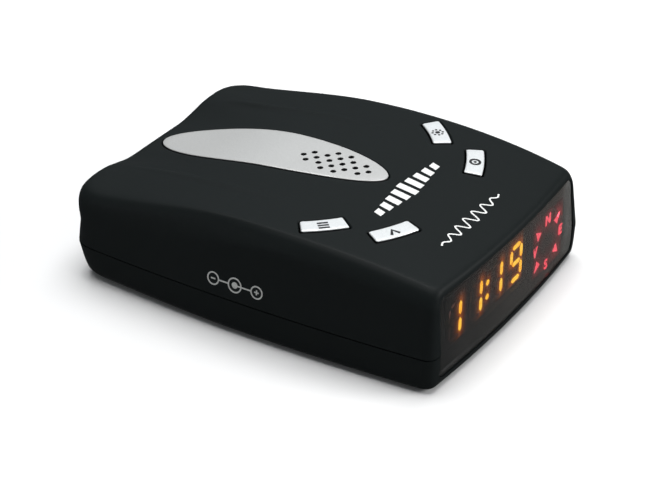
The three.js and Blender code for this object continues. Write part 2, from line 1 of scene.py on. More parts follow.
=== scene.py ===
"""Dash-top radar detector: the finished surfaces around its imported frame."""

import math

import bmesh
import bpy
from mathutils import Matrix, Vector
from mathutils.bvhtree import BVHTree


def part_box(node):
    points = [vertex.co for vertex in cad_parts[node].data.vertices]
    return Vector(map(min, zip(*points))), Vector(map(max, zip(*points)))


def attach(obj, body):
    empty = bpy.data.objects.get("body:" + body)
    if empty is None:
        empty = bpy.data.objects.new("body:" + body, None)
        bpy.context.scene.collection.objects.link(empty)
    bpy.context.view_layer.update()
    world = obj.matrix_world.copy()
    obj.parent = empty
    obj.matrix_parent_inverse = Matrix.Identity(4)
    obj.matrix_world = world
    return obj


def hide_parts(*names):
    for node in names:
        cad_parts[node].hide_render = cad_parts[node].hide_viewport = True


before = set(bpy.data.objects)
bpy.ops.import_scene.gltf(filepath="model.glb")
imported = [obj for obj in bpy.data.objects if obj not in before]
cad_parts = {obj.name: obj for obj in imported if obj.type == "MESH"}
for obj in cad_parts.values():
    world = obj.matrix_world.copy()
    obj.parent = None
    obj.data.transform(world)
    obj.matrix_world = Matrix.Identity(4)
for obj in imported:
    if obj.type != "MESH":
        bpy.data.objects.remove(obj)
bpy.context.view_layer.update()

# Shapes are worked out in millimetres and scaled to metres when they are finished.
MM = 0.001


def box_mm(node):
    low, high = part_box(node)
    return low / MM, high / MM


# ---- camera -------------------------------------------------------------------------
def look_from(azimuth, elevation, distance, target, lens):
    """Camera at an angle round the target: azimuth 0 looks along +Y."""
    turn, rise = math.radians(azimuth), math.radians(elevation)
    back = Vector((math.sin(turn) * math.cos(rise), -math.cos(turn) * math.cos(rise), math.sin(rise)))
    data = bpy.data.cameras.new("camera")
    data.lens = lens
    data.sensor_width = 36
    data.clip_start = 0.02
    data.clip_end = 20
    camera = bpy.data.objects.new("camera", data)
    camera.location = Vector(target) + back * distance
    camera.rotation_mode = "QUATERNION"
    camera.rotation_quaternion = (-back).to_track_quat("-Z", "Y")
    bpy.context.scene.collection.objects.link(camera)
    bpy.context.scene.camera = camera


look_from(-58.38, 30.65, 0.509, (-0.00077, -0.00135, 0.00701), 114.37)

# ---- sizes, from the frame and from the casing's form -------------------------------
upper_low, upper_high = box_mm("upper_shell")
lower_low, lower_high = box_mm("lower_shell")
SIDE = upper_high.x                       # half the width, at the parting line
FORWARD = upper_high.y                    # forward end
NEAR = -FORWARD                           # display face
BASE = lower_low.z                        # underside above the dashboard
TOP = upper_high.z                        # highest line across the top
PARTING = (lower_high.z + upper_low.z) / 2
PARTING_GAP = upper_low.z - lower_high.z
WALL = 2.0
FIT = 0.3

FRONT_DROP = 4.4                          # fall of the top towards the display
FORWARD_DROP = 5.0                        # fall of the top towards the forward end
CROWN_Y = NEAR + 47.35
VALLEY = {                                # trough between the crests
    "depth": 3.0, "start": NEAR + 63, "inner": 9, "outer": 23, "end_outer": 27.5, "end_start": FORWARD - 16,
}
RIDGE = {                                 # soft line along each crest
    "share": 0.28, "half": 0.8, "near_x": 21.5, "far_x": 20.2, "near_y": 6, "far_y": 36,
    "bead": 0.26, "bead_wide": 1.1, "start": NEAR + 45, "full": NEAR + 66,
    "fading": FORWARD - 18, "gone": FORWARD - 7,
}
SHED = {                                  # outward fall of the crests at the forward end
    "fall": 1.65, "from": 20, "to": 34, "start": NEAR + 58, "full": FORWARD - 10,
    "end_loss": 0.2, "end_start": FORWARD - 13, "end": FORWARD - 2,
}
FACET = {"near": 4.0, "forward": 9.2}     # height of the side chamfer at both ends
FACE_BOW = 1.5                            # how far the display face falls back at its corners
CORNER_X = SIDE - 4.2

WINDOW = {"bottom": BASE + 2.5, "top": BASE + 22.5, "low_x": SIDE - 5.5, "high_x": SIDE - 6.3, "corner": 2.0}
LENS_RECESS = 0.35
LENS_THICK = 1.2

KEY_CENTRE_Y = NEAR + 62.05
KEY_ARCS = {
    "far": {"x": SIDE - 12.1, "y": NEAR + 36.0, "half_angle": 8.2, "width": 4.5},
    "near": {"x": SIDE - 19.2, "y": NEAR + 21.8, "half_angle": 7.2, "width": 4.3},
}
KEYS = {"menu": ("far", -1), "select": ("near", -1), "mute": ("near", 1), "dim": ("far", 1)}
KEY_CLEARANCE = 0.4
KEY_PROUD = 0.28

PLATE_LOW, PLATE_HIGH = box_mm("speaker_plate")
PLATE = {"near": PLATE_LOW.y + 0.45, "wide": NEAR + 71.65, "forward": PLATE_HIGH.y, "half": PLATE_HIGH.x}
PLATE_THICK = 1.1
PLATE_PROUD = 0.22
SOUND_HOLE = {"radius": 0.68, "row_pitch": 2.06, "pitch": 3.6, "edge": 5.1}
SOUND_ROWS = (2, 5, 6, 5, 2)


# ---- casing form --------------------------------------------------------------------
def smooth(start, end, value):
    t = min(max((value - start) / (end - start), 0), 1)
    return t * t * (3 - 2 * t)


def lerp(a, b, t):
    return a + (b - a) * t


def crest(y):
    """Height of the raised side crests along the length."""
    if y < CROWN_Y:
        return TOP - FRONT_DROP * ((CROWN_Y - y) / (CROWN_Y - NEAR)) ** 2.4
    return TOP - FORWARD_DROP * ((y - CROWN_Y) / (FORWARD - CROWN_Y)) ** 1.6


def top(x, y):
    """Height of the top: the crests, a soft ridge line on each, and the trough between."""
    reach = abs(x)
    depth = VALLEY["depth"] * smooth(VALLEY["start"], FORWARD, y)
    outer = lerp(VALLEY["outer"], VALLEY["end_outer"], smooth(VALLEY["end_start"], FORWARD, y))
    ridge_x = lerp(RIDGE["near_x"], RIDGE["far_x"], smooth(RIDGE["near_y"], RIDGE["far_y"], y))
    fade = 1 - smooth(RIDGE["fading"], RIDGE["gone"], y)
    step = smooth(ridge_x - RIDGE["half"], ridge_x + RIDGE["half"], reach)
    rise = lerp(smooth(VALLEY["inner"], outer, reach), step, RIDGE["share"] * fade)
    outward = min(max((reach - SHED["from"]) / (SHED["to"] - SHED["from"]), 0), 1)
    flattened = 1 - SHED["end_loss"] * smooth(SHED["end_start"], SHED["end"], y)
    shed = SHED["fall"] * smooth(SHED["start"], SHED["full"], y) * outward * flattened
    line = math.exp(-((reach - ridge_x) / RIDGE["bead_wide"]) ** 2)
    bead = RIDGE["bead"] * line * smooth(RIDGE["start"], RIDGE["full"], y) * fade
    return crest(y) - depth * (1 - rise) - shed + bead


def crease(y):
    """Lower crease of the side chamfer, deepest at the forward corners."""
    return crest(y) - lerp(FACET["near"], FACET["forward"], smooth(NEAR + 36, FORWARD - 10, y))


def quadratic(start, middle, end, count):
    spots = []
    for i in range(count):
        t = i / count
        spots.append(start * (1 - t) ** 2 + middle * 2 * t * (1 - t) + end * t ** 2)
    return spots


def casing_outline(fineness):
    """Bowed outline at the parting line, from the display face round by the right."""
    near_corner = Vector((CORNER_X, NEAR + FACE_BOW))
    near_side = Vector((SIDE - 1.6, NEAR + 4.0))
    far_side = Vector((SIDE - 1.7, FORWARD - 8.0))
    far_corner = Vector((SIDE - 9.0, FORWARD - 0.6))
    near_middle = Vector((0, NEAR))
    far_middle = Vector((0, FORWARD))
    right = quadratic(near_middle, Vector((near_corner.x / 2, NEAR)), near_corner, 5 * fineness)
    right += quadratic(near_corner, Vector((near_side.x - 0.3, near_corner.y + 0.2)), near_side, 3 * fineness)
    right += quadratic(near_side, Vector((SIDE + 1.7, NEAR + 48.35)), far_side, 12 * fineness)
    right += quadratic(far_side, Vector((far_side.x - 0.5, far_corner.y + 0.1)), far_corner, 4 * fineness)
    right += quadratic(far_corner, Vector((far_corner.x / 2, FORWARD)), far_middle, 11 * fineness)
    left = [Vector((-spot.x, spot.y)) for spot in reversed(right[1:])]
    return right + [far_middle] + left


def casing_ring(outline, pull, wall, level):
    """The outline pulled in at flank, forward corner, display face and forward end."""
    flank, corner, face, end = pull
    ring = []
    for spot in outline:
        across = lerp(flank, corner, smooth(0, FORWARD, spot.y)) + wall
        along = (face if spot.y < 0 else end) + wall
        x = spot.x * (1 - across / SIDE)
        y = spot.y * (1 - along / FORWARD)
        ring.append(Vector((x, y, level(x, y))))
    return ring


def between(first, second, t):
    return [a.lerp(b, t) for a, b in zip(first, second)]


def softened(rings, times):
    """Rounds the creases that run along the rings; the first and last rings stay."""
    for _ in range(times):
        made = [rings[0]]
        for first, second in zip(rings, rings[1:]):
            made += [between(first, second, 0.25), between(first, second, 0.75)]
        rings = made + [rings[-1]]
    return rings


def flank_rings(outline, wall, start, start_pull):
    """Rings up the side: parting line, lower crease, chamfer, and the edge of the top."""
    chamfer = lambda t: lambda x, y: lerp(crease(y), top(x, y), t) - wall / 2
    roof = lambda x, y: top(x, y) - wall
    parting = casing_ring(outline, (start_pull,) * 4, wall, lambda x, y: start)
    fold = casing_ring(outline, (1.9, 0.6, 0.8, 0.7), wall, lambda x, y: crease(y))
    return [
        parting,
        between(parting, fold, 0.5),
        between(parting, fold, 0.86),
        fold,
        casing_ring(outline, (2.6, 0.9, 1.0, 0.0), wall, chamfer(0.38)),
        casing_ring(outline, (3.6, 1.4, 1.2, 0.0), wall, chamfer(0.74)),
        casing_ring(outline, (4.5, 2.6, 1.6, 0.5), wall, chamfer(0.92)),
        casing_ring(outline, (5.0, 4.0, 2.2, 1.7), wall, chamfer(0.985)),
        casing_ring(outline, (6.0, 7.0, 3.0, 3.6), wall, roof),
        casing_ring(outline, (8.0, 9.0, 4.6, 6.4), wall, roof),
    ]


def roof_rings(outline, wall, steps):
    """Rings of the top surface, from its edge to the middle."""
    stations = [(8.0, 9.0, 4.6, 6.4), (12, 13, 8, 11), (17, 17, 15, 17), (22.5, 22.5, 24, 26),
                (29, 29, 35, 38), (36.5, 36.5, 48, 49)]
    rings = []
    for number, (first, second) in enumerate(zip(stations, stations[1:])):
        extra = wall if number == 0 else 0
        for i in range(1, steps + 1):
            t = i / steps
            pull = [lerp(a, b, t) for a, b in zip(first, second)]
            rings.append(casing_ring(outline, pull, extra * (1 - t), lambda x, y: top(x, y) - wall))
    return rings


# ---- mesh tools ---------------------------------------------------------------------
def loft(rings, close_start=True, close_end=True, poke_end=False):
    """Skin over rings with equal counts, made by pulling one loop from ring to ring."""
    bm = bmesh.new()
    count = len(rings[0])
    loop = bmesh.ops.create_circle(bm, segments=count, radius=1)["verts"]
    first = loop
    for vert, place in zip(loop, rings[0]):
        vert.co = place
    for ring in rings[1:]:
        place_of = {vert: i for i, vert in enumerate(loop)}
        edges = [bm.edges.get((loop[i], loop[(i + 1) % count])) for i in range(count)]
        made = bmesh.ops.extrude_edge_only(bm, edges=edges)["geom"]
        fresh = [None] * count
        for vert in fresh_verts(made):
            twin = next(e.other_vert(vert) for e in vert.link_edges if e.other_vert(vert) in place_of)
            fresh[place_of[twin]] = vert
        loop = fresh
        for vert, place in zip(loop, ring):
            vert.co = place
    if close_start:
        bm.faces.new(first)
    if close_end:
        cap = bm.faces.new(loop)
        if poke_end:
            bmesh.ops.poke(bm, faces=[cap])
    bmesh.ops.recalc_face_normals(bm, faces=bm.faces)
    return bm


def fresh_verts(made):
    """The vertices among what an operator made."""
    return [item for item in made if isinstance(item, bmesh.types.BMVert)]


def rounded_rectangle(half_u, half_v, corner, arc_steps=5, side_steps=1):
    """Corner-rounded rectangle about the origin, anticlockwise."""
    spots = []
    centres = [(1, -1, -90), (1, 1, 0), (-1, 1, 90), (-1, -1, 180)]
    for u_sign, v_sign, start in centres:
        centre = Vector((u_sign * (half_u - corner), v_sign * (half_v - corner)))
        for i in range(arc_steps + 1):
            angle = math.radians(start + 90 * i / arc_steps)
            spots.append(centre + Vector((math.cos(angle), math.sin(angle))) * corner)
    if side_steps == 1:
        return spots
    divided = []
    for first, second in zip(spots, spots[1:] + spots[:1]):
        pieces = side_steps if (second - first).length > 2 * corner else 1
        divided += [first.lerp(second, i / pieces) for i in range(pieces)]
    return divided


def circle(x, y, radius, steps):
    turns = [2 * math.pi * i / steps for i in range(steps)]
    return [Vector((x + radius * math.cos(a), y + radius * math.sin(a))) for a in turns]


def at_height(spots, level):
    return [Vector((spot.x, spot.y, level(spot.x, spot.y))) for spot in spots]


def flat(spots, z):
    return [Vector((spot.x, spot.y, z)) for spot in spots]


def working_object(bm, name="work"):
    mesh = bpy.data.meshes.new(name)
    bm.to_mesh(mesh)
    bm.free()
    made = bpy.data.objects.new(name, mesh)
    bpy.context.scene.collection.objects.link(made)
    return made


def applied(obj):
    """Bakes an object's modifiers into its mesh."""
    graph = bpy.context.evaluated_depsgraph_get()
    mesh = bpy.data.meshes.new_from_object(obj.evaluated_get(graph))
    obj.modifiers.clear()
    obj.data = mesh
    return obj


def combine(target, tools, operation="DIFFERENCE"):
    """Cuts or joins a working object with bmeshes, which are used up."""
    for bm in tools:
        tool = working_object(bm)
        step = target.modifiers.new("combine", "BOOLEAN")
        step.operation = operation
        step.solver = "MANIFOLD"
        step.object = tool
        applied(target)
        bpy.data.objects.remove(tool)
    return target


def finish_piece(made, name, material, body="casing", slot=None, stands_for=(), sharp=32):
    """Names a working object, scales it to metres and gives it its finish and its body."""
    made.name = name
    made.data.name = name
    made.data.transform(Matrix.Scale(MM, 4))
    made.data.materials.clear()
    made.data.materials.append(material)
    for polygon in made.data.polygons:
        polygon.use_smooth = True
        polygon.material_index = 0
    made.data.set_sharp_from_angle(angle=math.radians(sharp))
    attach(made, body)
    if stands_for:
        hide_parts(*stands_for)
    return made


def piece(bm, name, material, **how):
    return finish_piece(working_object(bm), name, material, **how)


# ---- shader tools -------------------------------------------------------------------
class Value:
    """A socket that can be used in sums, so that shader maths reads as Python."""

    def __init__(self, finish, socket):
        self.finish = finish
        self.socket = socket

    def _sum(self, operation, first, second):
        return self.finish.node("ShaderNodeMath", {"operation": operation}, {0: first, 1: second})

    def __add__(self, other):
        return self._sum("ADD", self, other)

    def __sub__(self, other):
        return self._sum("SUBTRACT", self, other)

    def __rsub__(self, other):
        return self._sum("SUBTRACT", other, self)

    def __mul__(self, other):
        return self._sum("MULTIPLY", self, other)

    __radd__ = __add__
    __rmul__ = __mul__


class Finish:
    """One procedural material: a Principled surface with values and patterns on it."""

    def __init__(self, name, **constants):
        self.material = bpy.data.materials.new(name)
        self.material.use_nodes = True
        self.tree = self.material.node_tree
        self.tree.nodes.clear()
        self.surface = self.tree.nodes.new("ShaderNodeBsdfPrincipled")
        self.out = self.tree.nodes.new("ShaderNodeOutputMaterial")
        self.tree.links.new(self.surface.outputs[0], self.out.inputs[0])
        for socket, value in constants.items():
            self.surface.inputs[socket.replace("_", " ").title().replace("Ior", "IOR")].default_value = value

    def node(self, kind, settings=None, sockets=None, output=0):
        made = self.tree.nodes.new(kind)
        for key, value in (settings or {}).items():
            if key == "stops":
                self._set_stops(made.color_ramp, value)
            else:
                setattr(made, key, value)
        for key, value in (sockets or {}).items():
            self.feed(made.inputs[key], value)
        return Value(self, made.outputs[output])

    @staticmethod
    def _set_stops(ramp, stops):
        while len(ramp.elements) < len(stops):
            ramp.elements.new(0.5)
        for element, (position, colour) in zip(ramp.elements, stops):
            element.position = position
            element.color = colour

    def feed(self, socket, value):
        if isinstance(value, Value):
            self.tree.links.new(value.socket, socket)
        else:
            socket.default_value = value

    def place(self):
        return self.node("ShaderNodeTexCoord", output=3)

    def split(self, vector):
        return [self.node("ShaderNodeSeparateXYZ", None, {0: vector}, axis) for axis in range(3)]

    def noise(self, scale, detail=2, roughness=0.5, vector=None):
        """Cloudy noise; scale is in spots per metre."""
        return self.node("ShaderNodeTexNoise", None, {
            "Vector": vector or self.place(), "Scale": scale, "Detail": detail, "Roughness": roughness,
        })

    def cells(self, scale, output="Distance", vector=None):
        return self.node("ShaderNodeTexVoronoi", None, {
            "Vector": vector or self.place(), "Scale": scale}, output)

    def stretched(self, x, y, z):
        return self.node("ShaderNodeMapping", None, {"Vector": self.place(), "Scale": (x, y, z)})

    def mix(self, share, first, second):
        return self.node("ShaderNodeMix", {"data_type": "RGBA"}, {0: share, 6: first, 7: second}, 2)

    def spread(self, value, low, high):
        """Turns 0..1 into low..high."""
        return value * (high - low) + low

    def range(self, value, start, end):
        """0 below start, 1 above end."""
        return self.node("ShaderNodeMapRange", {"interpolation_type": "SMOOTHSTEP"},
                         {0: value, 1: start, 2: end, 3: 0.0, 4: 1.0})

    def bump(self, height, distance, strength=1.0):
        normal = self.node("ShaderNodeBump", None, {
            "Height": height, "Distance": distance, "Strength": strength})
        self.feed(self.surface.inputs["Normal"], normal)

    def set(self, socket, value):
        self.feed(self.surface.inputs[socket], value)


def rgb(red, green, blue):
    return (red, green, blue, 1.0)


def soft_touch_black():
    """Matte soft-touch plastic: fine moulded grain, faint handling marks."""
    f = Finish("soft_touch_black", specular_ior_level=0.10)
    broad = f.noise(45, 3, 0.6)
    grain = f.noise(5200, 2, 0.6)
    shade = f.mix(f.spread(broad, 0.2, 0.8), rgb(0.0053, 0.0074, 0.0074), rgb(0.0070, 0.0094, 0.0098))
    f.set("Base Color", shade)
    f.set("Roughness", f.spread(broad, 0.44, 0.56) + f.spread(grain, -0.05, 0.05))
    f.bump(grain, 0.00003, 0.5)
    return f.material


def satin_silver(name, bright, rough):
    """Silver lacquer over plastic, with fine metal flake."""
    f = Finish(name, specular_ior_level=0.5, coat_roughness=0.12, coat_weight=0.25)
    flake = f.cells(5200, "Color")
    tone = f.node("ShaderNodeSeparateColor", None, {0: flake})
    cloud = f.noise(120, 2, 0.5)
    pale = tuple(min(c * 1.12, 1) for c in bright[:3]) + (1.0,)
    dim = tuple(c * 0.90 for c in bright[:3]) + (1.0,)
    f.set("Base Color", f.mix(f.spread(tone, 0.25, 0.75), dim, pale))
    f.set("Metallic", 0.25)
    f.set("Roughness", f.spread(cloud, rough - 0.04, rough + 0.04))
    f.bump(tone, 0.00002, 0.25)
    return f.material


def smoked_acrylic(name, see_through, low, high):
    """Polished smoked acrylic with painted light: its tint gets paler towards its right end and is palest in
    a pale band at that end.
    """
    f = Finish(name, specular_ior_level=0.5, ior=1.49)
    haze = f.noise(90, 2, 0.5)
    across = f.split(f.place())[0]
    # Painted light: the tint pales along x and turns pale grey near the right end, for the light seen on the
    # window there.
    along = f.range(across, -0.040, 0.036)
    tint_with_painted_light = f.mix(along + f.spread(haze, -0.1, 0.1), low, high)
    f.set("Base Color", f.mix(f.range(across, 0.0265, 0.0325) * 0.8, tint_with_painted_light, rgb(0.185, 0.19, 0.182)))
    f.set("Roughness", f.spread(haze, 0.10, 0.20))
    f.set("Alpha", 1 - see_through)
    return f.material


def speckled(name, dark, pale, rough, grain=3000, detail=2, break_up=0.6, gloss=0.4, bump=(0.00002, 0.4)):
    """Solid moulded or fired material with a fine speckle; rough is its lowest and highest roughness."""
    f = Finish(name, specular_ior_level=gloss)
    spots = f.noise(grain, detail, break_up)
    f.set("Base Color", f.mix(spots, rgb(*dark), rgb(*pale)))
    f.set("Roughness", f.spread(spots, *rough))
    f.bump(spots, *bump)
    return f.material


def dark_plastic(name, tone, rough=0.5, grain=3000):
    return speckled(name, tone, [c * 1.5 for c in tone], (rough - 0.06, rough + 0.06), grain)


def lamp(name, core, edge, strength):
    """Light-emitting face, a little uneven as real segments are."""
    f = Finish(name, emission_strength=strength, roughness=0.4)
    cloud = f.noise(900, 2, 0.5)
    f.set("Base Color", f.mix(cloud, edge, core))
    f.set("Emission Color", f.mix(f.range(cloud, 0.3, 0.62), edge, core))
    return f.material


def module_face(name, glow_colour, strength):
    """Black module face with the light that spills round its lit segments."""
    f = Finish(name, emission_strength=strength, specular_ior_level=0.2)
    glow = f.node("ShaderNodeAttribute", {"attribute_name": "glow"}, None, 2)
    spots = f.noise(2500, 2, 0.6)
    f.set("Base Color", f.mix(spots, rgb(0.010, 0.009, 0.009), rgb(0.018, 0.016, 0.015)))
    f.set("Roughness", f.spread(spots, 0.5, 0.65))
    f.set("Emission Color", f.mix(glow, rgb(0, 0, 0), glow_colour))
    return f.material


def printed(name, tone):
    """Pad-printed ink: not quite even."""
    f = Finish(name, specular_ior_level=0.4)
    cloud = f.noise(1500, 3, 0.6)
    f.set("Base Color", f.mix(f.range(cloud, 0.35, 0.6), rgb(*(c * 0.86 for c in tone)), rgb(*tone)))
    f.set("Roughness", f.spread(cloud, 0.38, 0.5))
    return f.material


def metal(name, tone, rough, stretch=(1, 1, 1), grain=1800):
    """Bare or plated metal with a directional grain."""
    f = Finish(name)
    lines = f.noise(grain, 3, 0.65, f.stretched(*stretch))
    cloud = f.noise(160, 2, 0.5)
    f.set("Base Color", f.mix(lines, rgb(*(c * 0.82 for c in tone)), rgb(*tone)))
    f.set("Metallic", 1.0)
    f.set("Roughness", f.spread(cloud, rough - 0.06, rough + 0.06) + f.spread(lines, -0.05, 0.05))
    f.bump(lines, 0.00002, 0.4)
    return f.material


def circuit_board():
    """Green solder mask over copper tracks, with tinned pads and a pale legend."""
    f = Finish("circuit_board", specular_ior_level=0.5)
    bricks = f.node("ShaderNodeTexBrick", {"offset": 0.35}, {
        "Vector": f.place(), "Scale": 260.0, "Mortar Size": 0.035, "Color1": rgb(0, 0, 0),
        "Color2": rgb(0, 0, 0), "Mortar": rgb(1, 1, 1), "Brick Width": 0.9, "Row Height": 0.28})
    track = f.node("ShaderNodeSeparateColor", None, {0: bricks})
    pads = f.range(1 - f.cells(420), 0.78, 0.84)
    mask = f.mix(track, rgb(0.006, 0.055, 0.020), rgb(0.014, 0.115, 0.042))
    f.set("Base Color", f.mix(pads, mask, rgb(0.52, 0.53, 0.52)))
    f.set("Metallic", pads * 0.9)
    f.set("Roughness", f.spread(pads, 0.34, 0.28))
    f.bump(track + pads, 0.00004, 0.5)
    return f.material


FINISHES = {
    "casing": soft_touch_black(),
    "plate": satin_silver("plate_silver", (0.51, 0.515, 0.51), 0.40),
    "key": satin_silver("key_silver", (0.72, 0.745, 0.755), 0.34),
    "window": smoked_acrylic("window_smoke", 0.34, rgb(0.019, 0.0195, 0.019), rgb(0.058, 0.053, 0.048)),
    "laser": smoked_acrylic("laser_smoke", 0.10, rgb(0.020, 0.008, 0.010), rgb(0.030, 0.010, 0.012)),
    "mask": dark_plastic("mask_black", (0.012, 0.011, 0.011), 0.6),
    "black": dark_plastic("moulded_black", (0.011, 0.011, 0.012), 0.45),
    "cone": dark_plastic("cone_black", (0.013, 0.013, 0.014), 0.6, 1400),
    "amber": lamp("led_amber", rgb(1.0, 0.60, 0.055), rgb(1.0, 0.44, 0.02), 8.0),
    "red": lamp("led_red", rgb(1.0, 0.115, 0.16), rgb(0.95, 0.06, 0.10), 7.0),
    # The unlit segments still get a faint emission: a painted glow on segments that are off.
    "unlit": lamp("segment_unlit", rgb(0.30, 0.09, 0.05), rgb(0.20, 0.06, 0.04), 0.16),
    "clock_face": module_face("clock_face", rgb(1.0, 0.20, 0.01), 2.2),
    "compass_face": module_face("compass_face", rgb(0.9, 0.03, 0.05), 1.6),
    "white_print": printed("white_print", (0.80, 0.81, 0.80)),
    "grey_print": printed("grey_print", (0.42, 0.43, 0.42)),
    "black_print": printed("black_print", (0.012, 0.012, 0.014)),
    "steel": metal("tinned_steel", (0.55, 0.56, 0.57), 0.36, (1, 6, 1)),
    "screw": metal("screw_steel", (0.36, 0.36, 0.37), 0.34),
    "cast": metal("cast_alloy", (0.44, 0.45, 0.46), 0.55, (1, 1, 1), 900),
    "board": circuit_board(),
    "ceramic": speckled("antenna_ceramic", (0.42, 0.33, 0.22), (0.56, 0.45, 0.31), (0.5, 0.62),
                        grain=2200, detail=3, gloss=0.5),
    "rubber": speckled("foot_rubber", (0.010, 0.010, 0.010), (0.022, 0.022, 0.021), (0.75, 0.92),
                       grain=1600, detail=3, break_up=0.7, gloss=0.25, bump=(0.00006, 0.5)),
    "label": dark_plastic("label_film", (0.045, 0.046, 0.050), 0.32, 700),
}


# ---- outlines of what sits in the casing --------------------------------------------
def plate_reach(side):
    """Length of the plate from its widest place: to the near tip below 0, else to the forward tip."""
    return PLATE["wide"] - PLATE["near"] if side < 0 else PLATE["forward"] - PLATE["wide"]


def plate_outline(grow, share=1.0, steps=96):
    """Leaf outline of the speaker plate; share shrinks it towards its widest place."""
    spots = []
    for i in range(steps):
        angle = 2 * math.pi * i / steps
        reach = plate_reach(math.cos(angle))
        x = (PLATE["half"] + grow) * math.sin(angle) * share
        y = PLATE["wide"] + (reach + grow) * math.cos(angle) * share
        spots.append(Vector((x, y)))
    return spots


def plate_half(y):
    """Half width of the plate at a place along it."""
    along = y - PLATE["wide"]
    return PLATE["half"] * math.sqrt(max(1 - (along / plate_reach(along)) ** 2, 0))


def key_outline(arc, hand, grow, corner=0.45, shrink=1.0):
    """Key outline bent round its arc; shrink scales it about its own middle."""
    key = KEY_ARCS[arc]
    radius = math.hypot(key["x"], key["y"] - KEY_CENTRE_Y)
    slope = math.atan2(key["y"] - KEY_CENTRE_Y, key["x"])
    half_u = radius * math.radians(key["half_angle"]) + grow
    half_v = key["width"] / 2 + grow
    spots = []
    for spot in rounded_rectangle(half_u, half_v, corner + max(grow, 0) * 0.5, 4, 8):
        angle = slope + spot.x * shrink / radius
        reach = radius + spot.y * shrink
        spots.append(Vector((hand * reach * math.cos(angle), KEY_CENTRE_Y + reach * math.sin(angle))))
    return spots


def face_y(x, z):
    """Place of the display face, which is bowed across and leans back a little."""
    if z > PARTING:
        lean = 0.8 * (z - PARTING) / (crease(NEAR) - PARTING)
    else:
        lean = 0.4 * (PARTING - z) / (PARTING - BASE - 1.3)
    return NEAR + FACE_BOW * (x / CORNER_X) ** 2 + lean


def window_outline(grow, share=1.0):
    """Window outline as (x, z) spots, a little narrower at its top."""
    middle = (WINDOW["bottom"] + WINDOW["top"]) / 2
    half_z = (WINDOW["top"] - WINDOW["bottom"]) / 2 + grow
    spots = []
    for spot in rounded_rectangle(WINDOW["low_x"] + grow, half_z, WINDOW["corner"] + grow, 6, 24):
        taper = (WINDOW["low_x"] - WINDOW["high_x"]) * (spot.y + half_z) / (2 * half_z)
        x = spot.x - math.copysign(taper, spot.x) * min(abs(spot.x) / 20, 1)
        spots.append(Vector((x * share, middle + spot.y * share)))
    return spots


def face_ring(spots, depth):
    return [Vector((spot.x, face_y(spot.x, spot.y) + depth, spot.y)) for spot in spots]


def plane_ring(spots, y):
    return [Vector((spot.x, y, spot.y)) for spot in spots]


def column(spots, z0, z1):
    return loft([flat(spots, z0), flat(spots, z1)])


def stepped_hole(x, y, profile, steps):
    """Round cutter from (radius, height) stations."""
    return loft([flat(circle(x, y, radius, steps), z) for radius, z in profile])


def block(x0, x1, y0, y1, z0, z1):
    spots = [Vector((x0, y0)), Vector((x1, y0)), Vector((x1, y1)), Vector((x0, y1))]
    return column(spots, z0, z1)


def mirrored(places):
    return [(sign * x, y) for x, y in places for sign in (-1, 1)]


POSTS = mirrored([(SIDE - 8, NEAR + 15.35), (SIDE - 9, FORWARD - 11.35)])
FEET = mirrored([(SIDE - 11.5, NEAR + 8.35), (SIDE - 14.5, FORWARD - 7.35)])


# ---- casing shells ------------------------------------------------------------------
def lipped_column(outline_at, low, lip=0.3, drop=0.28, level=top):
    """Cutter for an opening in the top, with a small chamfer that follows the surface."""
    rings = [
        flat(outline_at(0), low),
        at_height(outline_at(0), lambda x, y: level(x, y) - drop),
        at_height(outline_at(lip * 0.55), lambda x, y: level(x, y) - drop * 0.3),
        at_height(outline_at(lip * 1.3), lambda x, y: level(x, y) + 0.12),
        flat(outline_at(lip * 1.3), TOP + 4),
    ]
    return loft(rings)


def window_cutter():
    back = NEAR + FACE_BOW + LENS_RECESS + LENS_THICK + FIT + 1.3
    return loft([
        plane_ring(window_outline(FIT + 0.2), NEAR - 2),
        face_ring(window_outline(FIT + 0.2), -0.1),
        face_ring(window_outline(FIT), 0.15),
        plane_ring(window_outline(FIT), back + FIT),
    ])


def wall_pocket(node, corner, axis, stations):
    """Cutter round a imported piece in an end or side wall, from (place along the axis, scale) stations."""
    low, high = box_mm(node)
    middle, half = (low + high) / 2, (high - low) / 2
    across = 1 - axis
    rings = []
    for along, grow in stations:
        ring = []
        for spot in rounded_rectangle(half[across] + FIT, half.z + FIT, corner):
            place = Vector((along, along, middle.z + spot.y * grow))
            place[across] = middle[across] + spot.x * grow
            ring.append(place)
        rings.append(ring)
    return loft(rings)


def socket_cutter():
    return wall_pocket("power_socket", 0.6, 0, ((SIDE - 6, 1), (SIDE - 0.9, 1), (SIDE + 1.2, 1.18)))


def laser_cutter():
    return wall_pocket("laser_lens", 0.5, 1, ((FORWARD - 8, 1), (FORWARD - 1.0, 1), (FORWARD + 1.5, 1.12)))


def roof_solid(outline, wall, start, start_pull, steps):
    rings = flank_rings(outline, wall, start, start_pull)
    return loft(softened(rings, 2) + roof_rings(outline, wall, steps), poke_end=True)


def floor_solid(outline, wall, start, start_pull):
    level = lambda z: lambda x, y: z
    rings = [
        casing_ring(outline, (start_pull,) * 4, wall, level(start)),
        casing_ring(outline, (0.12,) * 4, wall, level(start - 3 if start_pull == 0 else start - 0.2)),
        casing_ring(outline, (0.4, 1.0, 0.4, 1.3), wall, level(BASE + wall + 2.0)),
        casing_ring(outline, (0.9, 1.9, 0.9, 2.3), wall, level(BASE + wall + 0.6)),
        casing_ring(outline, (1.9, 3.2, 1.6, 3.4), wall, level(BASE + wall)),
    ]
    return loft(rings[:2] + softened(rings[1:], 2)[1:])


def sound_holes():
    longest = max(SOUND_ROWS)
    for row, count in enumerate(SOUND_ROWS):
        x = (row - (len(SOUND_ROWS) - 1) / 2) * SOUND_HOLE["row_pitch"]
        start = PLATE["near"] + SOUND_HOLE["edge"] + (longest - count) / 2 * SOUND_HOLE["pitch"]
        for i in range(count):
            yield x, start + i * SOUND_HOLE["pitch"]


def speaker_middle():
    low, high = box_mm("speaker_frame")
    return (low.y + high.y) / 2, high.z


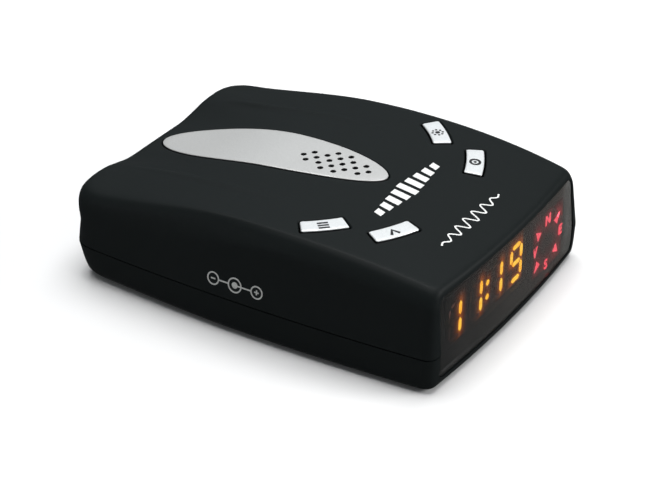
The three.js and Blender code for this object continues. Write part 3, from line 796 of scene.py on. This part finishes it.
def upper_shell():
    """Hollow cover with screw posts, cut for window, socket, laser window, keys, plate and sound."""
    outline = casing_outline(4)
    coarse = casing_outline(2)
    edge = PARTING + PARTING_GAP / 2
    shell = working_object(roof_solid(outline, 0, edge, 0.12, 13))
    combine(shell, [roof_solid(coarse, WALL, PARTING - 2, 0, 3)])
    posts = []
    for x, y in POSTS:
        roof = lambda px, py: top(px, py) - WALL * 0.75 - 2.6 * smooth(SIDE - 8.5, SIDE - 4.8, abs(px))
        spots = circle(x, y, 2.8, 28)
        posts.append(loft([flat(spots, edge), at_height(spots, roof)]))
    combine(shell, posts, "UNION")
    cuts = [column(circle(x, y, 1.4, 24), BASE, BASE + 15) for x, y in POSTS]
    cuts += [window_cutter(), socket_cutter(), laser_cutter()]
    cuts += [lipped_column(lambda g, a=arc, h=hand: key_outline(a, h, KEY_CLEARANCE + g), TOP - 9)
             for arc, hand in KEYS.values()]
    pocket = lambda x, y: top(x, y) - PLATE_THICK + PLATE_PROUD - FIT
    cuts.append(loft([
        at_height(plate_outline(FIT, 0.02), pocket),
        at_height(plate_outline(FIT, 0.5), pocket),
        at_height(plate_outline(FIT), pocket),
        at_height(plate_outline(FIT), lambda x, y: top(x, y) - 0.2),
        at_height(plate_outline(FIT + 0.32), lambda x, y: top(x, y) + 0.12),
        flat(plate_outline(FIT + 0.32), TOP + 4),
    ]))
    middle, level = speaker_middle()
    mouth = [Vector((min(abs(s.x), plate_half(s.y) - 1.0) * math.copysign(1, s.x), s.y))
             for s in circle(0, middle, 8.4, 48)]
    cuts.append(column(mouth, level - 1, TOP + 2))
    combine(shell, cuts)
    return shell


def lower_shell():
    """Hollow base with screw bosses and board stands, cut for screws, feet and label."""
    outline = casing_outline(3)
    edge = PARTING - PARTING_GAP / 2
    shell = working_object(floor_solid(outline, 0, edge, 0.14))
    combine(shell, [floor_solid(casing_outline(2), WALL, PARTING + 3, 0)])
    bosses = [column(circle(x, y, 3.2, 28), BASE + WALL / 2, edge) for x, y in POSTS]
    stands = mirrored([(15, NEAR + 21.35), (22, FORWARD - 17.35)])
    board_low, _ = box_mm("main_board")
    bosses += [column(circle(x, y, 2.2, 20), BASE + WALL / 2, board_low.z - FIT) for x, y in stands]
    combine(shell, bosses, "UNION")
    cuts = [window_cutter(), socket_cutter()]
    for x, y in POSTS:
        cuts.append(column(circle(x, y, 1.4, 24), BASE - 1, PARTING + 1))
        seat = [(3.05, BASE - 1), (3.05, BASE - 0.02), (2.7, BASE + 0.35), (2.7, BASE + 2.2)]
        cuts.append(stepped_hole(x, y, seat, 32))
    for x, y in FEET:
        recess = [(4.75, BASE - 1), (4.75, BASE - 0.02), (4.5, BASE + 0.25), (4.5, BASE + 1.0)]
        cuts.append(stepped_hole(x, y, recess, 40))
    low, high = box_mm("rating_label")
    middle, half = (low + high) / 2, (high - low) / 2
    spots = [middle.xy + spot for spot in rounded_rectangle(half.x + FIT, half.y + FIT, 1.2)]
    cuts.append(column(spots, BASE - 1, high.z + FIT))
    combine(shell, cuts)
    return shell


shell_top = finish_piece(upper_shell(), "upper_casing", FINISHES["casing"], slot="casing_black",
                         stands_for=["upper_shell"])
finish_piece(lower_shell(), "lower_casing", FINISHES["casing"], slot="casing_black",
             stands_for=["lower_shell"])


# ---- speaker plate ------------------------------------------------------------------
def speaker_plate():
    """Leaf-shaped plate that follows the trough, with a rolled rim and flared sound holes."""
    proud = lambda drop: lambda x, y: top(x, y) + PLATE_PROUD - drop
    under = lambda x, y: top(x, y) + PLATE_PROUD - PLATE_THICK
    rings = [at_height(plate_outline(0, share), under) for share in (0.02, 0.3, 0.6, 0.85)]
    rings += [
        at_height(plate_outline(-0.15), under),
        at_height(plate_outline(0), proud(PLATE_THICK - 0.2)),
        at_height(plate_outline(0), proud(0.30)),
        at_height(plate_outline(-0.06), proud(0.14)),
        at_height(plate_outline(-0.18), proud(0.04)),
        at_height(plate_outline(-0.34), proud(0)),
    ]
    rings += [at_height(plate_outline(-0.34, 1 - i / 14), proud(0)) for i in range(1, 14)]
    plate = working_object(loft(rings, poke_end=True))
    cuts = []
    for x, y in sound_holes():
        level = top(x, y) + PLATE_PROUD
        flare = ((0, -2), (0, -0.16), (0.05, -0.05), (0.15, 0.04), (0.15, 2))
        profile = [(SOUND_HOLE["radius"] + wider, level + rise) for wider, rise in flare]
        cuts.append(stepped_hole(x, y, profile, 20))
    return combine(plate, cuts)


def walls_in_painted_shade(made, material, steepest, proud):
    """Upright walls and the underside below the rim take the black second material: painted shade in the gap
    round the piece and down its holes.
    """
    made.data.materials.append(material)
    for polygon in made.data.polygons:
        spot = polygon.center / MM
        if polygon.normal.z < steepest and spot.z < top(spot.x, spot.y) + proud - 0.05:
            polygon.material_index = 1


cover = finish_piece(speaker_plate(), "speaker_cover", FINISHES["plate"], slot="plate_silver",
                     stands_for=["speaker_plate"], sharp=28)
# On the plate the black walls are painted shade down the sound holes and in the gap at the rim, and also the
# bare plastic under the silver paint.
walls_in_painted_shade(cover, FINISHES["black"], 0.5, PLATE_PROUD)


# ---- keys ---------------------------------------------------------------------------
def key_cap(arc, hand):
    """Silver cap with a rounded rim, a slightly crowned top and its lip underneath."""
    key = KEY_ARCS[arc]
    place_z = top(key["x"], key["y"])
    lip_z = place_z - WALL - FIT - 0.9
    crown = lambda drop: lambda x, y: top(x, y) + KEY_PROUD - drop
    rings = [flat(key_outline(arc, hand, 0), lip_z)]
    rings += [at_height(key_outline(arc, hand, 0), crown(0.42))]
    for inset, drop in ((0.03, 0.27), (0.11, 0.14), (0.23, 0.06), (0.40, 0.02)):
        rings.append(at_height(key_outline(arc, hand, -inset, 0.42), crown(drop)))
    rings += [at_height(key_outline(arc, hand, -0.40, 0.42, share), crown(0)) for share in (0.7, 0.35)]
    cap = working_object(loft(rings, poke_end=True))
    stem = column(circle(hand * key["x"], key["y"], 1.6, 24), key_stem_bottom(), lip_z + 0.5)
    return combine(cap, [stem], "UNION")


def key_stem_bottom():
    low, _ = box_mm("key_menu")
    return low.z


for name, (arc, hand) in KEYS.items():
    cap = finish_piece(key_cap(arc, hand), f"key_cap_{name}", FINISHES["key"], body=f"button_{name}",
                       slot="key_silver", stands_for=[f"key_{name}"], sharp=40)
    # On the keys the black walls are painted shade in the gap round each key.
    walls_in_painted_shade(cap, FINISHES["black"], 0.25, KEY_PROUD)


# ---- window and display -------------------------------------------------------------
def window_lens():
    """Smoked window that follows the bowed display face, with eased edges."""
    front, back = LENS_RECESS, LENS_RECESS + LENS_THICK
    shares = (0.02, 0.25, 0.5, 0.75)
    rings = [face_ring(window_outline(-0.3, share), back) for share in shares]
    rings += [
        face_ring(window_outline(-0.2), back),
        face_ring(window_outline(0.14), back - 0.3),
        face_ring(window_outline(0.14), front + 0.22),
        face_ring(window_outline(0.07), front + 0.07),
        face_ring(window_outline(-0.08), front),
    ]
    rings += [face_ring(window_outline(-0.25, share), front) for share in reversed(shares)]
    return loft(rings)


piece(window_lens(), "window_lens", FINISHES["window"], slot="window_smoke", stands_for=["display_window"])

DIGITS = {"pitch": 9.85, "first_x": -24.3, "middle_z": 13.4, "half_wide": 2.45, "half_tall": 4.45}
STROKE = 1.2                              # width of a lit segment
SEGMENT_PROUD = 0.12
SEGMENT_TRIM = 0.62                       # what each end of a segment stays short of its corner
COLON = {"place": 1.56, "rise": 1.9, "radius": 0.72}      # place is in digit pitches
COMPASS = {"x": 21.6, "z": 10.5, "half_wide": 7.1, "half_tall": 6.2, "arrow": 1.6, "letter": 3.6}
LETTER_WEIGHT = 0.032                     # how much bolder than plain, as a share of the height
SEGMENTS = {                              # ends as shares of a digit's half width and half height
    "a": ((-1, 1), (1, 1)), "b": ((1, 1), (1, 0)), "c": ((1, 0), (1, -1)), "d": ((-1, -1), (1, -1)),
    "e": ((-1, 0), (-1, -1)), "f": ((-1, 1), (-1, 0)), "g": ((-1, 0), (1, 0)),
}
DIGIT_SEGMENTS = {"1": "bc", "9": "abcdfg"}


def digit_strokes(index, wanted):
    """Centre lines of the wanted segments of one digit, as pairs of (x, z) ends."""
    centre = Vector((DIGITS["first_x"] + index * DIGITS["pitch"], DIGITS["middle_z"]))
    half = Vector((DIGITS["half_wide"], DIGITS["half_tall"]))
    for letter in wanted:
        start, end = [centre + Vector(share) * half for share in SEGMENTS[letter]]
        trim = (end - start).normalized() * SEGMENT_TRIM
        yield start + trim, end - trim


def stroke_outline(start, end, width):
    """Six-sided bar with pointed ends."""
    along = (end - start).normalized()
    across = Vector((-along.y, along.x)) * width / 2
    nose = along * width * 0.38
    return [start - nose * 0.4, start + nose - across, end - nose - across, end + nose * 0.4,
            end - nose + across, start + nose + across]


def filled_outline(bm, spots):
    """Adds one flat face with the given corners and returns its vertices."""
    ring = bmesh.ops.create_circle(bm, segments=len(spots), radius=1, cap_ends=True)["verts"]
    for vert, spot in zip(ring, spots):
        vert.co = spot
    return ring


def face_plaque(bm, spots, y, thick):
    """Adds a thin raised shape, given as (x, z) spots, in front of a face that looks along -Y."""
    ring = filled_outline(bm, [Vector((spot.x, y, spot.y)) for spot in spots])
    face = next(f for f in ring[0].link_faces if all(v in f.verts for v in ring))
    if face.normal_update() or face.normal.y > 0:
        face.normal_flip()
    made = bmesh.ops.extrude_face_region(bm, geom=[face], use_keep_orig=True)["geom"]
    bmesh.ops.translate(bm, verts=fresh_verts(made), vec=(0, -thick, 0))


def glow_at(spot, strokes, reach):
    """Light at a spot of the module's face, fading with the distance to the nearest stroke."""
    nearest = 9.0
    for start, end in strokes:
        line = end - start
        t = min(max((spot - start).dot(line) / line.length_squared, 0), 1) if line.length > 0 else 0
        nearest = min(nearest, (spot - start - line * t).length)
    return math.exp(-((nearest / reach) ** 1.5))


def lit_module(node, strokes, reach):
    """Display module whose front carries the light round its strokes as an attribute."""
    low, high = box_mm(node)
    bm = bmesh.new()
    wide, tall = high.x - low.x, high.z - low.z
    bmesh.ops.create_grid(bm, x_segments=int(wide * 3), y_segments=int(tall * 3), size=0.5)
    centre = Vector(((low.x + high.x) / 2, low.y, (low.z + high.z) / 2))
    upright = Matrix.Rotation(math.radians(90), 4, "X")
    spread = Matrix.Diagonal((wide, tall, 1, 1))
    bmesh.ops.transform(bm, matrix=Matrix.Translation(centre) @ upright @ spread, verts=bm.verts)
    glow = bm.verts.layers.float.new("glow")
    for vert in bm.verts:
        vert[glow] = glow_at(Vector((vert.co.x, vert.co.z)), strokes, reach)
    rim = [edge for edge in bm.edges if edge.is_boundary]
    made = bmesh.ops.extrude_edge_only(bm, edges=rim)["geom"]
    bmesh.ops.translate(bm, verts=fresh_verts(made), vec=(0, high.y - low.y, 0))
    for vert in fresh_verts(made):
        vert[glow] = 0
    bmesh.ops.holes_fill(bm, edges=[edge for edge in bm.edges if edge.is_boundary])
    bmesh.ops.recalc_face_normals(bm, faces=bm.faces)
    return bm


def clock():
    """Time display: lit segments and colon, faint unlit segments, and the module behind them."""
    low, _ = box_mm("clock_display")
    face = low.y - 0.01
    shown = [list(digit_strokes(i, DIGIT_SEGMENTS[d])) for i, d in enumerate("1119")]
    lit = [stroke for strokes in shown for stroke in strokes]
    unlit = []
    for i, digit in enumerate("1119"):
        rest = "".join(letter for letter in SEGMENTS if letter not in DIGIT_SEGMENTS[digit])
        unlit += list(digit_strokes(i, rest))
    colon_x = DIGITS["first_x"] + COLON["place"] * DIGITS["pitch"]
    dots = [Vector((colon_x, DIGITS["middle_z"] + side * COLON["rise"])) for side in (1, -1)]
    bm = bmesh.new()
    for start, end in lit:
        face_plaque(bm, stroke_outline(start, end, STROKE), face, SEGMENT_PROUD)
    for dot in dots:
        face_plaque(bm, circle(dot.x, dot.y, COLON["radius"], 14), face, SEGMENT_PROUD)
    piece(bm, "clock_lit_segments", FINISHES["amber"], slot="led_amber")
    bm = bmesh.new()
    for start, end in unlit:
        face_plaque(bm, stroke_outline(start, end, STROKE * 0.65), face, SEGMENT_PROUD / 2)
    piece(bm, "clock_unlit_segments", FINISHES["unlit"], slot="led_amber")
    module = lit_module("clock_display", lit + [(dot, dot) for dot in dots], 1.35)
    piece(module, "clock_module", FINISHES["clock_face"], slot="led_amber", stands_for=["clock_display"])


def letter_mesh(letter, size):
    """Flat outline letter as a mesh centred on the origin, in millimetres."""
    curve = bpy.data.curves.new("letter", "FONT")
    curve.body = letter
    curve.size = size
    curve.align_x = "CENTER"
    curve.align_y = "CENTER"
    curve.offset = size * LETTER_WEIGHT
    curve.extrude = SEGMENT_PROUD / 2
    curve.resolution_u = 3
    holder = bpy.data.objects.new("letter", curve)
    bpy.context.scene.collection.objects.link(holder)
    graph = bpy.context.evaluated_depsgraph_get()
    mesh = bpy.data.meshes.new_from_object(holder.evaluated_get(graph))
    bpy.data.objects.remove(holder)
    return mesh


def compass():
    """Compass display: four letters with an arrow between each pair, on its module."""
    low, _ = box_mm("compass_display")
    face = low.y - 0.01
    bm = bmesh.new()
    glow = []
    for step in range(8):
        angle = math.radians(90 - 45 * step)
        centre = Vector((COMPASS["x"] + COMPASS["half_wide"] * math.cos(angle),
                         COMPASS["z"] + COMPASS["half_tall"] * math.sin(angle)))
        glow.append((centre, centre))
        if step % 2:
            points = [angle, angle + 2.36, angle - 2.36]
            spots = [centre + Vector((math.cos(a), math.sin(a))) * COMPASS["arrow"] for a in points]
            face_plaque(bm, spots, face, SEGMENT_PROUD)
            continue
        mesh = letter_mesh("NESW"[step // 2], COMPASS["letter"])
        upright = Matrix.Rotation(math.radians(90), 4, "X")
        middle = Matrix.Translation((centre.x, face - SEGMENT_PROUD / 2, centre.y))
        mesh.transform(middle @ upright)
        bm.from_mesh(mesh)
        bpy.data.meshes.remove(mesh)
    piece(bm, "compass_signs", FINISHES["red"], slot="led_red")
    module = lit_module("compass_display", glow, 1.9)
    piece(module, "compass_module", FINISHES["compass_face"], slot="led_red", stands_for=["compass_display"])


clock()
compass()


# ---- printed graphics ---------------------------------------------------------------
def surface_of(obj):
    """Ray target made from a finished piece, in millimetres."""
    bm = bmesh.new()
    bm.from_mesh(obj.data)
    bmesh.ops.scale(bm, vec=(1 / MM,) * 3, verts=bm.verts)
    tree = BVHTree.FromBMesh(bm)
    bm.free()
    return tree


def print_film(outlines, tree, aim, lift=0.02, thick=0.03):
    """Thin ink film: outlines on a plane, cut fine and laid on a surface along aim."""
    bm = bmesh.new()
    for spots in outlines:
        filled_outline(bm, spots)
    bmesh.ops.triangulate(bm, faces=bm.faces)
    for _ in range(2):
        long = [edge for edge in bm.edges if edge.calc_length() > 1.0]
        bmesh.ops.subdivide_edges(bm, edges=long, cuts=1)
        bmesh.ops.triangulate(bm, faces=[face for face in bm.faces if len(face.verts) > 3])
    aim = Vector(aim)
    for vert in bm.verts:
        hit = tree.ray_cast(vert.co - aim * 40, aim)[0]
        if hit:
            vert.co = hit - aim * lift
    for face in bm.faces:
        face.normal_update()
        if face.normal.dot(aim) > 0:
            face.normal_flip()
    made = bmesh.ops.extrude_face_region(bm, geom=bm.faces[:], use_keep_orig=True)["geom"]
    bmesh.ops.translate(bm, verts=fresh_verts(made), vec=-aim * thick)
    return bm


def line_strip(points, width):
    """Quads along a polyline of 2-D points, as separate outlines that meet at mitres."""
    sides = []
    for i, point in enumerate(points):
        before = points[max(i - 1, 0)]
        after = points[min(i + 1, len(points) - 1)]
        along = (after - before).normalized()
        across = Vector((-along.y, along.x)) * width / 2
        sides.append((point - across, point + across))
    return [[a[0], b[0], b[1], a[1]] for a, b in zip(sides, sides[1:])]


def ring_strip(x, y, radius, width, start=0, end=360, steps=24):
    angles = [math.radians(lerp(start, end, i / steps)) for i in range(steps + 1)]
    return line_strip([Vector((x + radius * math.cos(a), y + radius * math.sin(a))) for a in angles], width)


def printed_on(surface, name, outlines, place, aim, finish, **how):
    """Lays outlines, put in place by a function, on a surface as one printed piece."""
    film = print_film([[place(spot) for spot in spots] for spots in outlines], surface, aim)
    return piece(film, name, FINISHES[finish], **how)


BARS = {
    "count": 9, "x": -1.3, "y": -22.7, "pitch": 3.2, "wide": 2.0, "tallest": 5.6, "fall": 0.85, "slant": 0.7,
}
WAVE = {"x": -17.0, "y": -40.5, "long": 27.5, "swing": 1.55, "waves": 7, "steps": 96, "line": 0.42}
SOCKET_SIGN = {"y": 1.5, "z": 13.6, "pitch": 6.0, "ring": 1.5, "middle_ring": 1.75, "pin": 0.8, "line": 0.34}
DOWN = (0, 0, -1)


def bar_mark():
    """Row of bold slanted signal bars, tallest in the middle."""
    outlines = []
    for i in range(BARS["count"]):
        step = i - (BARS["count"] - 1) / 2
        tall = BARS["tallest"] - BARS["fall"] * abs(step)
        foot = BARS["y"] - tall / 2
        middle = BARS["x"] + step * BARS["pitch"] - BARS["slant"] / 2
        left, right = middle - BARS["wide"] / 2, middle + BARS["wide"] / 2
        corners = [(left, foot), (right, foot),
                   (right + BARS["slant"], foot + tall), (left + BARS["slant"], foot + tall)]
        outlines.append([Vector(corner) for corner in corners])
    return outlines


def wave_line():
    """Thin radar wave that swells in the middle."""
    points = []
    for i in range(WAVE["steps"] + 1):
        t = i / WAVE["steps"]
        swing = WAVE["swing"] * math.sin(math.pi * t) ** 0.7
        rise = swing * math.sin(2 * math.pi * WAVE["waves"] * t)
        points.append(Vector((WAVE["x"] + WAVE["long"] * t, WAVE["y"] + rise)))
    return line_strip(points, WAVE["line"])


def socket_sign():
    """Direct-current socket sign: minus ring, ring round a pin, plus ring, joined by a line."""
    far, ring, middle, line = (SOCKET_SIGN[key] for key in ("pitch", "ring", "middle_ring", "line"))
    outlines = [circle(0, 0, SOCKET_SIGN["pin"], 16)]
    for x, radius in ((-far, ring), (0, middle), (far, ring)):
        outlines += ring_strip(x, 0, radius, line)
    for start, end in (((ring - far, 0), (-middle, 0)), ((SOCKET_SIGN["pin"], 0), (far - ring, 0)),
                       ((-far - 0.6, 0), (0.6 - far, 0)), ((far - 0.6, 0), (far + 0.6, 0)),
                       ((far, -0.6), (far, 0.6))):
        outlines += line_strip([Vector(start), Vector(end)], line)
    return outlines


def on_top(spot):
    return Vector((spot.x, spot.y, TOP))


def on_side(spot):
    return Vector((-SIDE, SOCKET_SIGN["y"] - spot.x, SOCKET_SIGN["z"] + spot.y))


casing_surface = surface_of(shell_top)
printed_on(casing_surface, "bar_mark", bar_mark(), on_top, DOWN, "white_print")
printed_on(casing_surface, "wave_mark", wave_line(), on_top, DOWN, "white_print")
printed_on(casing_surface, "socket_sign", socket_sign(), on_side, (1, 0, 0), "grey_print")


def key_sign(name):
    """Plain sign for each key: three bars, an arrow head, a ring with a dot, a sun."""
    if name == "menu":
        bars = [line_strip([Vector((-0.95, rise)), Vector((0.95, rise))], 0.42) for rise in (-0.75, 0, 0.75)]
        return [spots for strip in bars for spots in strip]
    if name == "select":
        return line_strip([Vector((-0.8, -0.7)), Vector((0, 0.6)), Vector((0.8, -0.7))], 0.54)
    if name == "mute":
        return ring_strip(0, 0, 0.85, 0.46) + [circle(0, 0, 0.30, 10)]
    rays = [circle(spot.x, spot.y, 0.24, 8) for spot in circle(0, 0, 0.95, 8)]
    return rays + [circle(0, 0, 0.45, 12)]


SIGN_SCALE = 1.35
SIGN_SHIFT = Vector((-0.35, -0.15))
for name, (arc, hand) in KEYS.items():
    key = KEY_ARCS[arc]
    middle = Vector((hand * key["x"], key["y"])) + SIGN_SHIFT
    turn = Matrix.Rotation(math.atan2(hand * key["x"], KEY_CENTRE_Y - key["y"]), 2) * SIGN_SCALE
    place = lambda spot, turn=turn, middle=middle: on_top(turn @ spot + middle)
    cap_surface = surface_of(bpy.data.objects[f"key_cap_{name}"])
    printed_on(cap_surface, f"key_sign_{name}", key_sign(name), place, DOWN, "black_print",
               body=f"button_{name}", slot="key_silver")


# ---- underside ----------------------------------------------------------------------
def spun(profile, x, y, steps=48):
    """Turned piece from (radius, height) spots about an upright axis."""
    bm = bmesh.new()
    verts = [bm.verts.new((radius, 0, height)) for radius, height in profile]
    for first, second in zip(verts, verts[1:]):
        bm.edges.new((first, second))
    bmesh.ops.spin(bm, geom=bm.verts[:] + bm.edges[:], axis=(0, 0, 1), cent=(0, 0, 0),
                   angle=2 * math.pi, steps=steps, use_merge=True)
    bmesh.ops.remove_doubles(bm, verts=bm.verts, dist=1e-4)
    bmesh.ops.recalc_face_normals(bm, faces=bm.faces)
    bmesh.ops.translate(bm, verts=bm.verts, vec=(x, y, 0))
    return bm


for number, (x, y) in enumerate(FEET, 1):
    profile = [(0, 1.3), (4.0, 1.3), (4.2, 1.1), (4.2, 0.3), (4.05, 0.08), (3.8, 0), (2.6, 0), (2.4, 0.12),
               (2.0, 0.12), (1.8, 0), (0, 0)]
    piece(spun(profile, x, y), f"foot_{number}", FINISHES["rubber"], slot="foot_rubber",
          stands_for=[f"rubber_foot_{number}"])


def case_screw(number, x, y):
    """Pan-head screw with a rolled thread and a cross recess."""
    low, high = box_mm(f"case_screw_{number}")
    head = [(0, low.z), (1.5, low.z), (2.1, low.z + 0.2), (2.4, low.z + 0.6), (2.4, low.z + 0.8),
            (1.1, low.z + 1.6)]
    thread = []
    z = low.z + 2.2
    while z < high.z - 1.6:
        thread += [(0.88, z), (1.1, z + 0.28), (0.88, z + 0.56)]
        z += 0.62
    tip = [(0.8, high.z - 1.0), (0.3, high.z), (0, high.z)]
    screw = working_object(spun(head + thread + tip, x, y, 32))
    cuts = [block(x - 1.5, x + 1.5, y - 0.3, y + 0.3, low.z - 1, low.z + 0.7),
            block(x - 0.3, x + 0.3, y - 1.5, y + 1.5, low.z - 1, low.z + 0.7)]
    return combine(screw, cuts)


for number, (x, y) in enumerate(POSTS, 1):
    finish_piece(case_screw(number, x, y), f"case_screw_turned_{number}", FINISHES["screw"],
                 slot="screw_steel", stands_for=[f"case_screw_{number}"])


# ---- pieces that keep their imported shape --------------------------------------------
def keep(nodes, material, edge=0.12):
    """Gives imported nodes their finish, welded and with softened edges."""
    for node in nodes:
        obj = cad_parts[node]
        obj.data.materials.clear()
        obj.data.materials.append(material)
        weld = obj.modifiers.new("weld", "WELD")
        weld.merge_threshold = 1e-6
        if edge:
            bevel = obj.modifiers.new("edge", "BEVEL")
            bevel.width = edge * MM
            bevel.segments = 2
            bevel.limit_method = "ANGLE"
            bevel.angle_limit = math.radians(40)


NAMES = tuple(KEYS)
keep(["display_bezel"], FINISHES["mask"], 0)
keep(["display_board", "key_board", "main_board", "gps_antenna_board"], FINISHES["board"], 0.05)
keep(["display_header", "key_header", "processor", "laser_sensor"], FINISHES["black"])
keep([f"switch_{name}" for name in NAMES] + [f"plunger_{name}" for name in NAMES], FINISHES["black"], 0.08)
keep(["gps_receiver_can", "rf_shield", "backup_cell", "power_socket", "speaker_magnet"], FINISHES["steel"])
keep(["horn_antenna"], FINISHES["cast"], 0.2)
keep(["gps_antenna"], FINISHES["ceramic"], 0.2)
keep(["speaker_cone", "speaker_frame"], FINISHES["cone"], 0)
keep(["laser_lens"], FINISHES["laser"], 0.1)
keep(["rating_label"], FINISHES["label"], 0.05)


# ---- floor and light ----------------------------------------------------------------
def studio():
    bm = bmesh.new()
    bmesh.ops.create_grid(bm, x_segments=1, y_segments=1, size=3)
    floor = working_object(bm, "floor")
    f = Finish("floor_pale", roughness=0.6, specular_ior_level=0.2)
    f.set("Base Color", f.mix(f.noise(6, 2, 0.5), rgb(0.86, 0.865, 0.87), rgb(0.88, 0.88, 0.88)))
    floor.data.materials.append(f.material)
    floor.visible_glossy = False
    world = bpy.data.worlds.new("studio")
    bpy.context.scene.world = world
    world.use_nodes = True
    world.node_tree.nodes["Background"].inputs[0].default_value = rgb(0.96, 0.98, 1.0)
    world.node_tree.nodes["Background"].inputs[1].default_value = 0.11


def softbox(name, place, aim, wide, tall, power, colour=(1, 1, 1)):
    light = bpy.data.lights.new(name, "AREA")
    light.shape = "RECTANGLE"
    light.size = wide
    light.size_y = tall
    light.energy = power
    light.color = colour
    holder = bpy.data.objects.new(name, light)
    holder.location = place
    holder.rotation_mode = "QUATERNION"
    holder.rotation_quaternion = (Vector(aim) - Vector(place)).to_track_quat("-Z", "Y")
    bpy.context.scene.collection.objects.link(holder)


studio()
softbox("over_light", (0.10, 0.05, 1.0), (0, 0, 0.01), 0.9, 0.9, 13.2)
softbox("far_light", (0.75, 0.50, 0.50), (0, 0.0, 0.02), 1.0, 0.5, 0.65, (0.86, 0.95, 1.0))
softbox("side_light", (-0.85, 0.65, 0.25), (-0.03, 0.02, 0.01), 0.5, 0.5, 1.0, (0.92, 0.97, 1.0))
softbox("window_light", (0.35, -0.75, 0.35), (0, 0, 0.01), 0.5, 0.3, 5.0)
bpy.context.scene.view_settings.view_transform = "Standard"
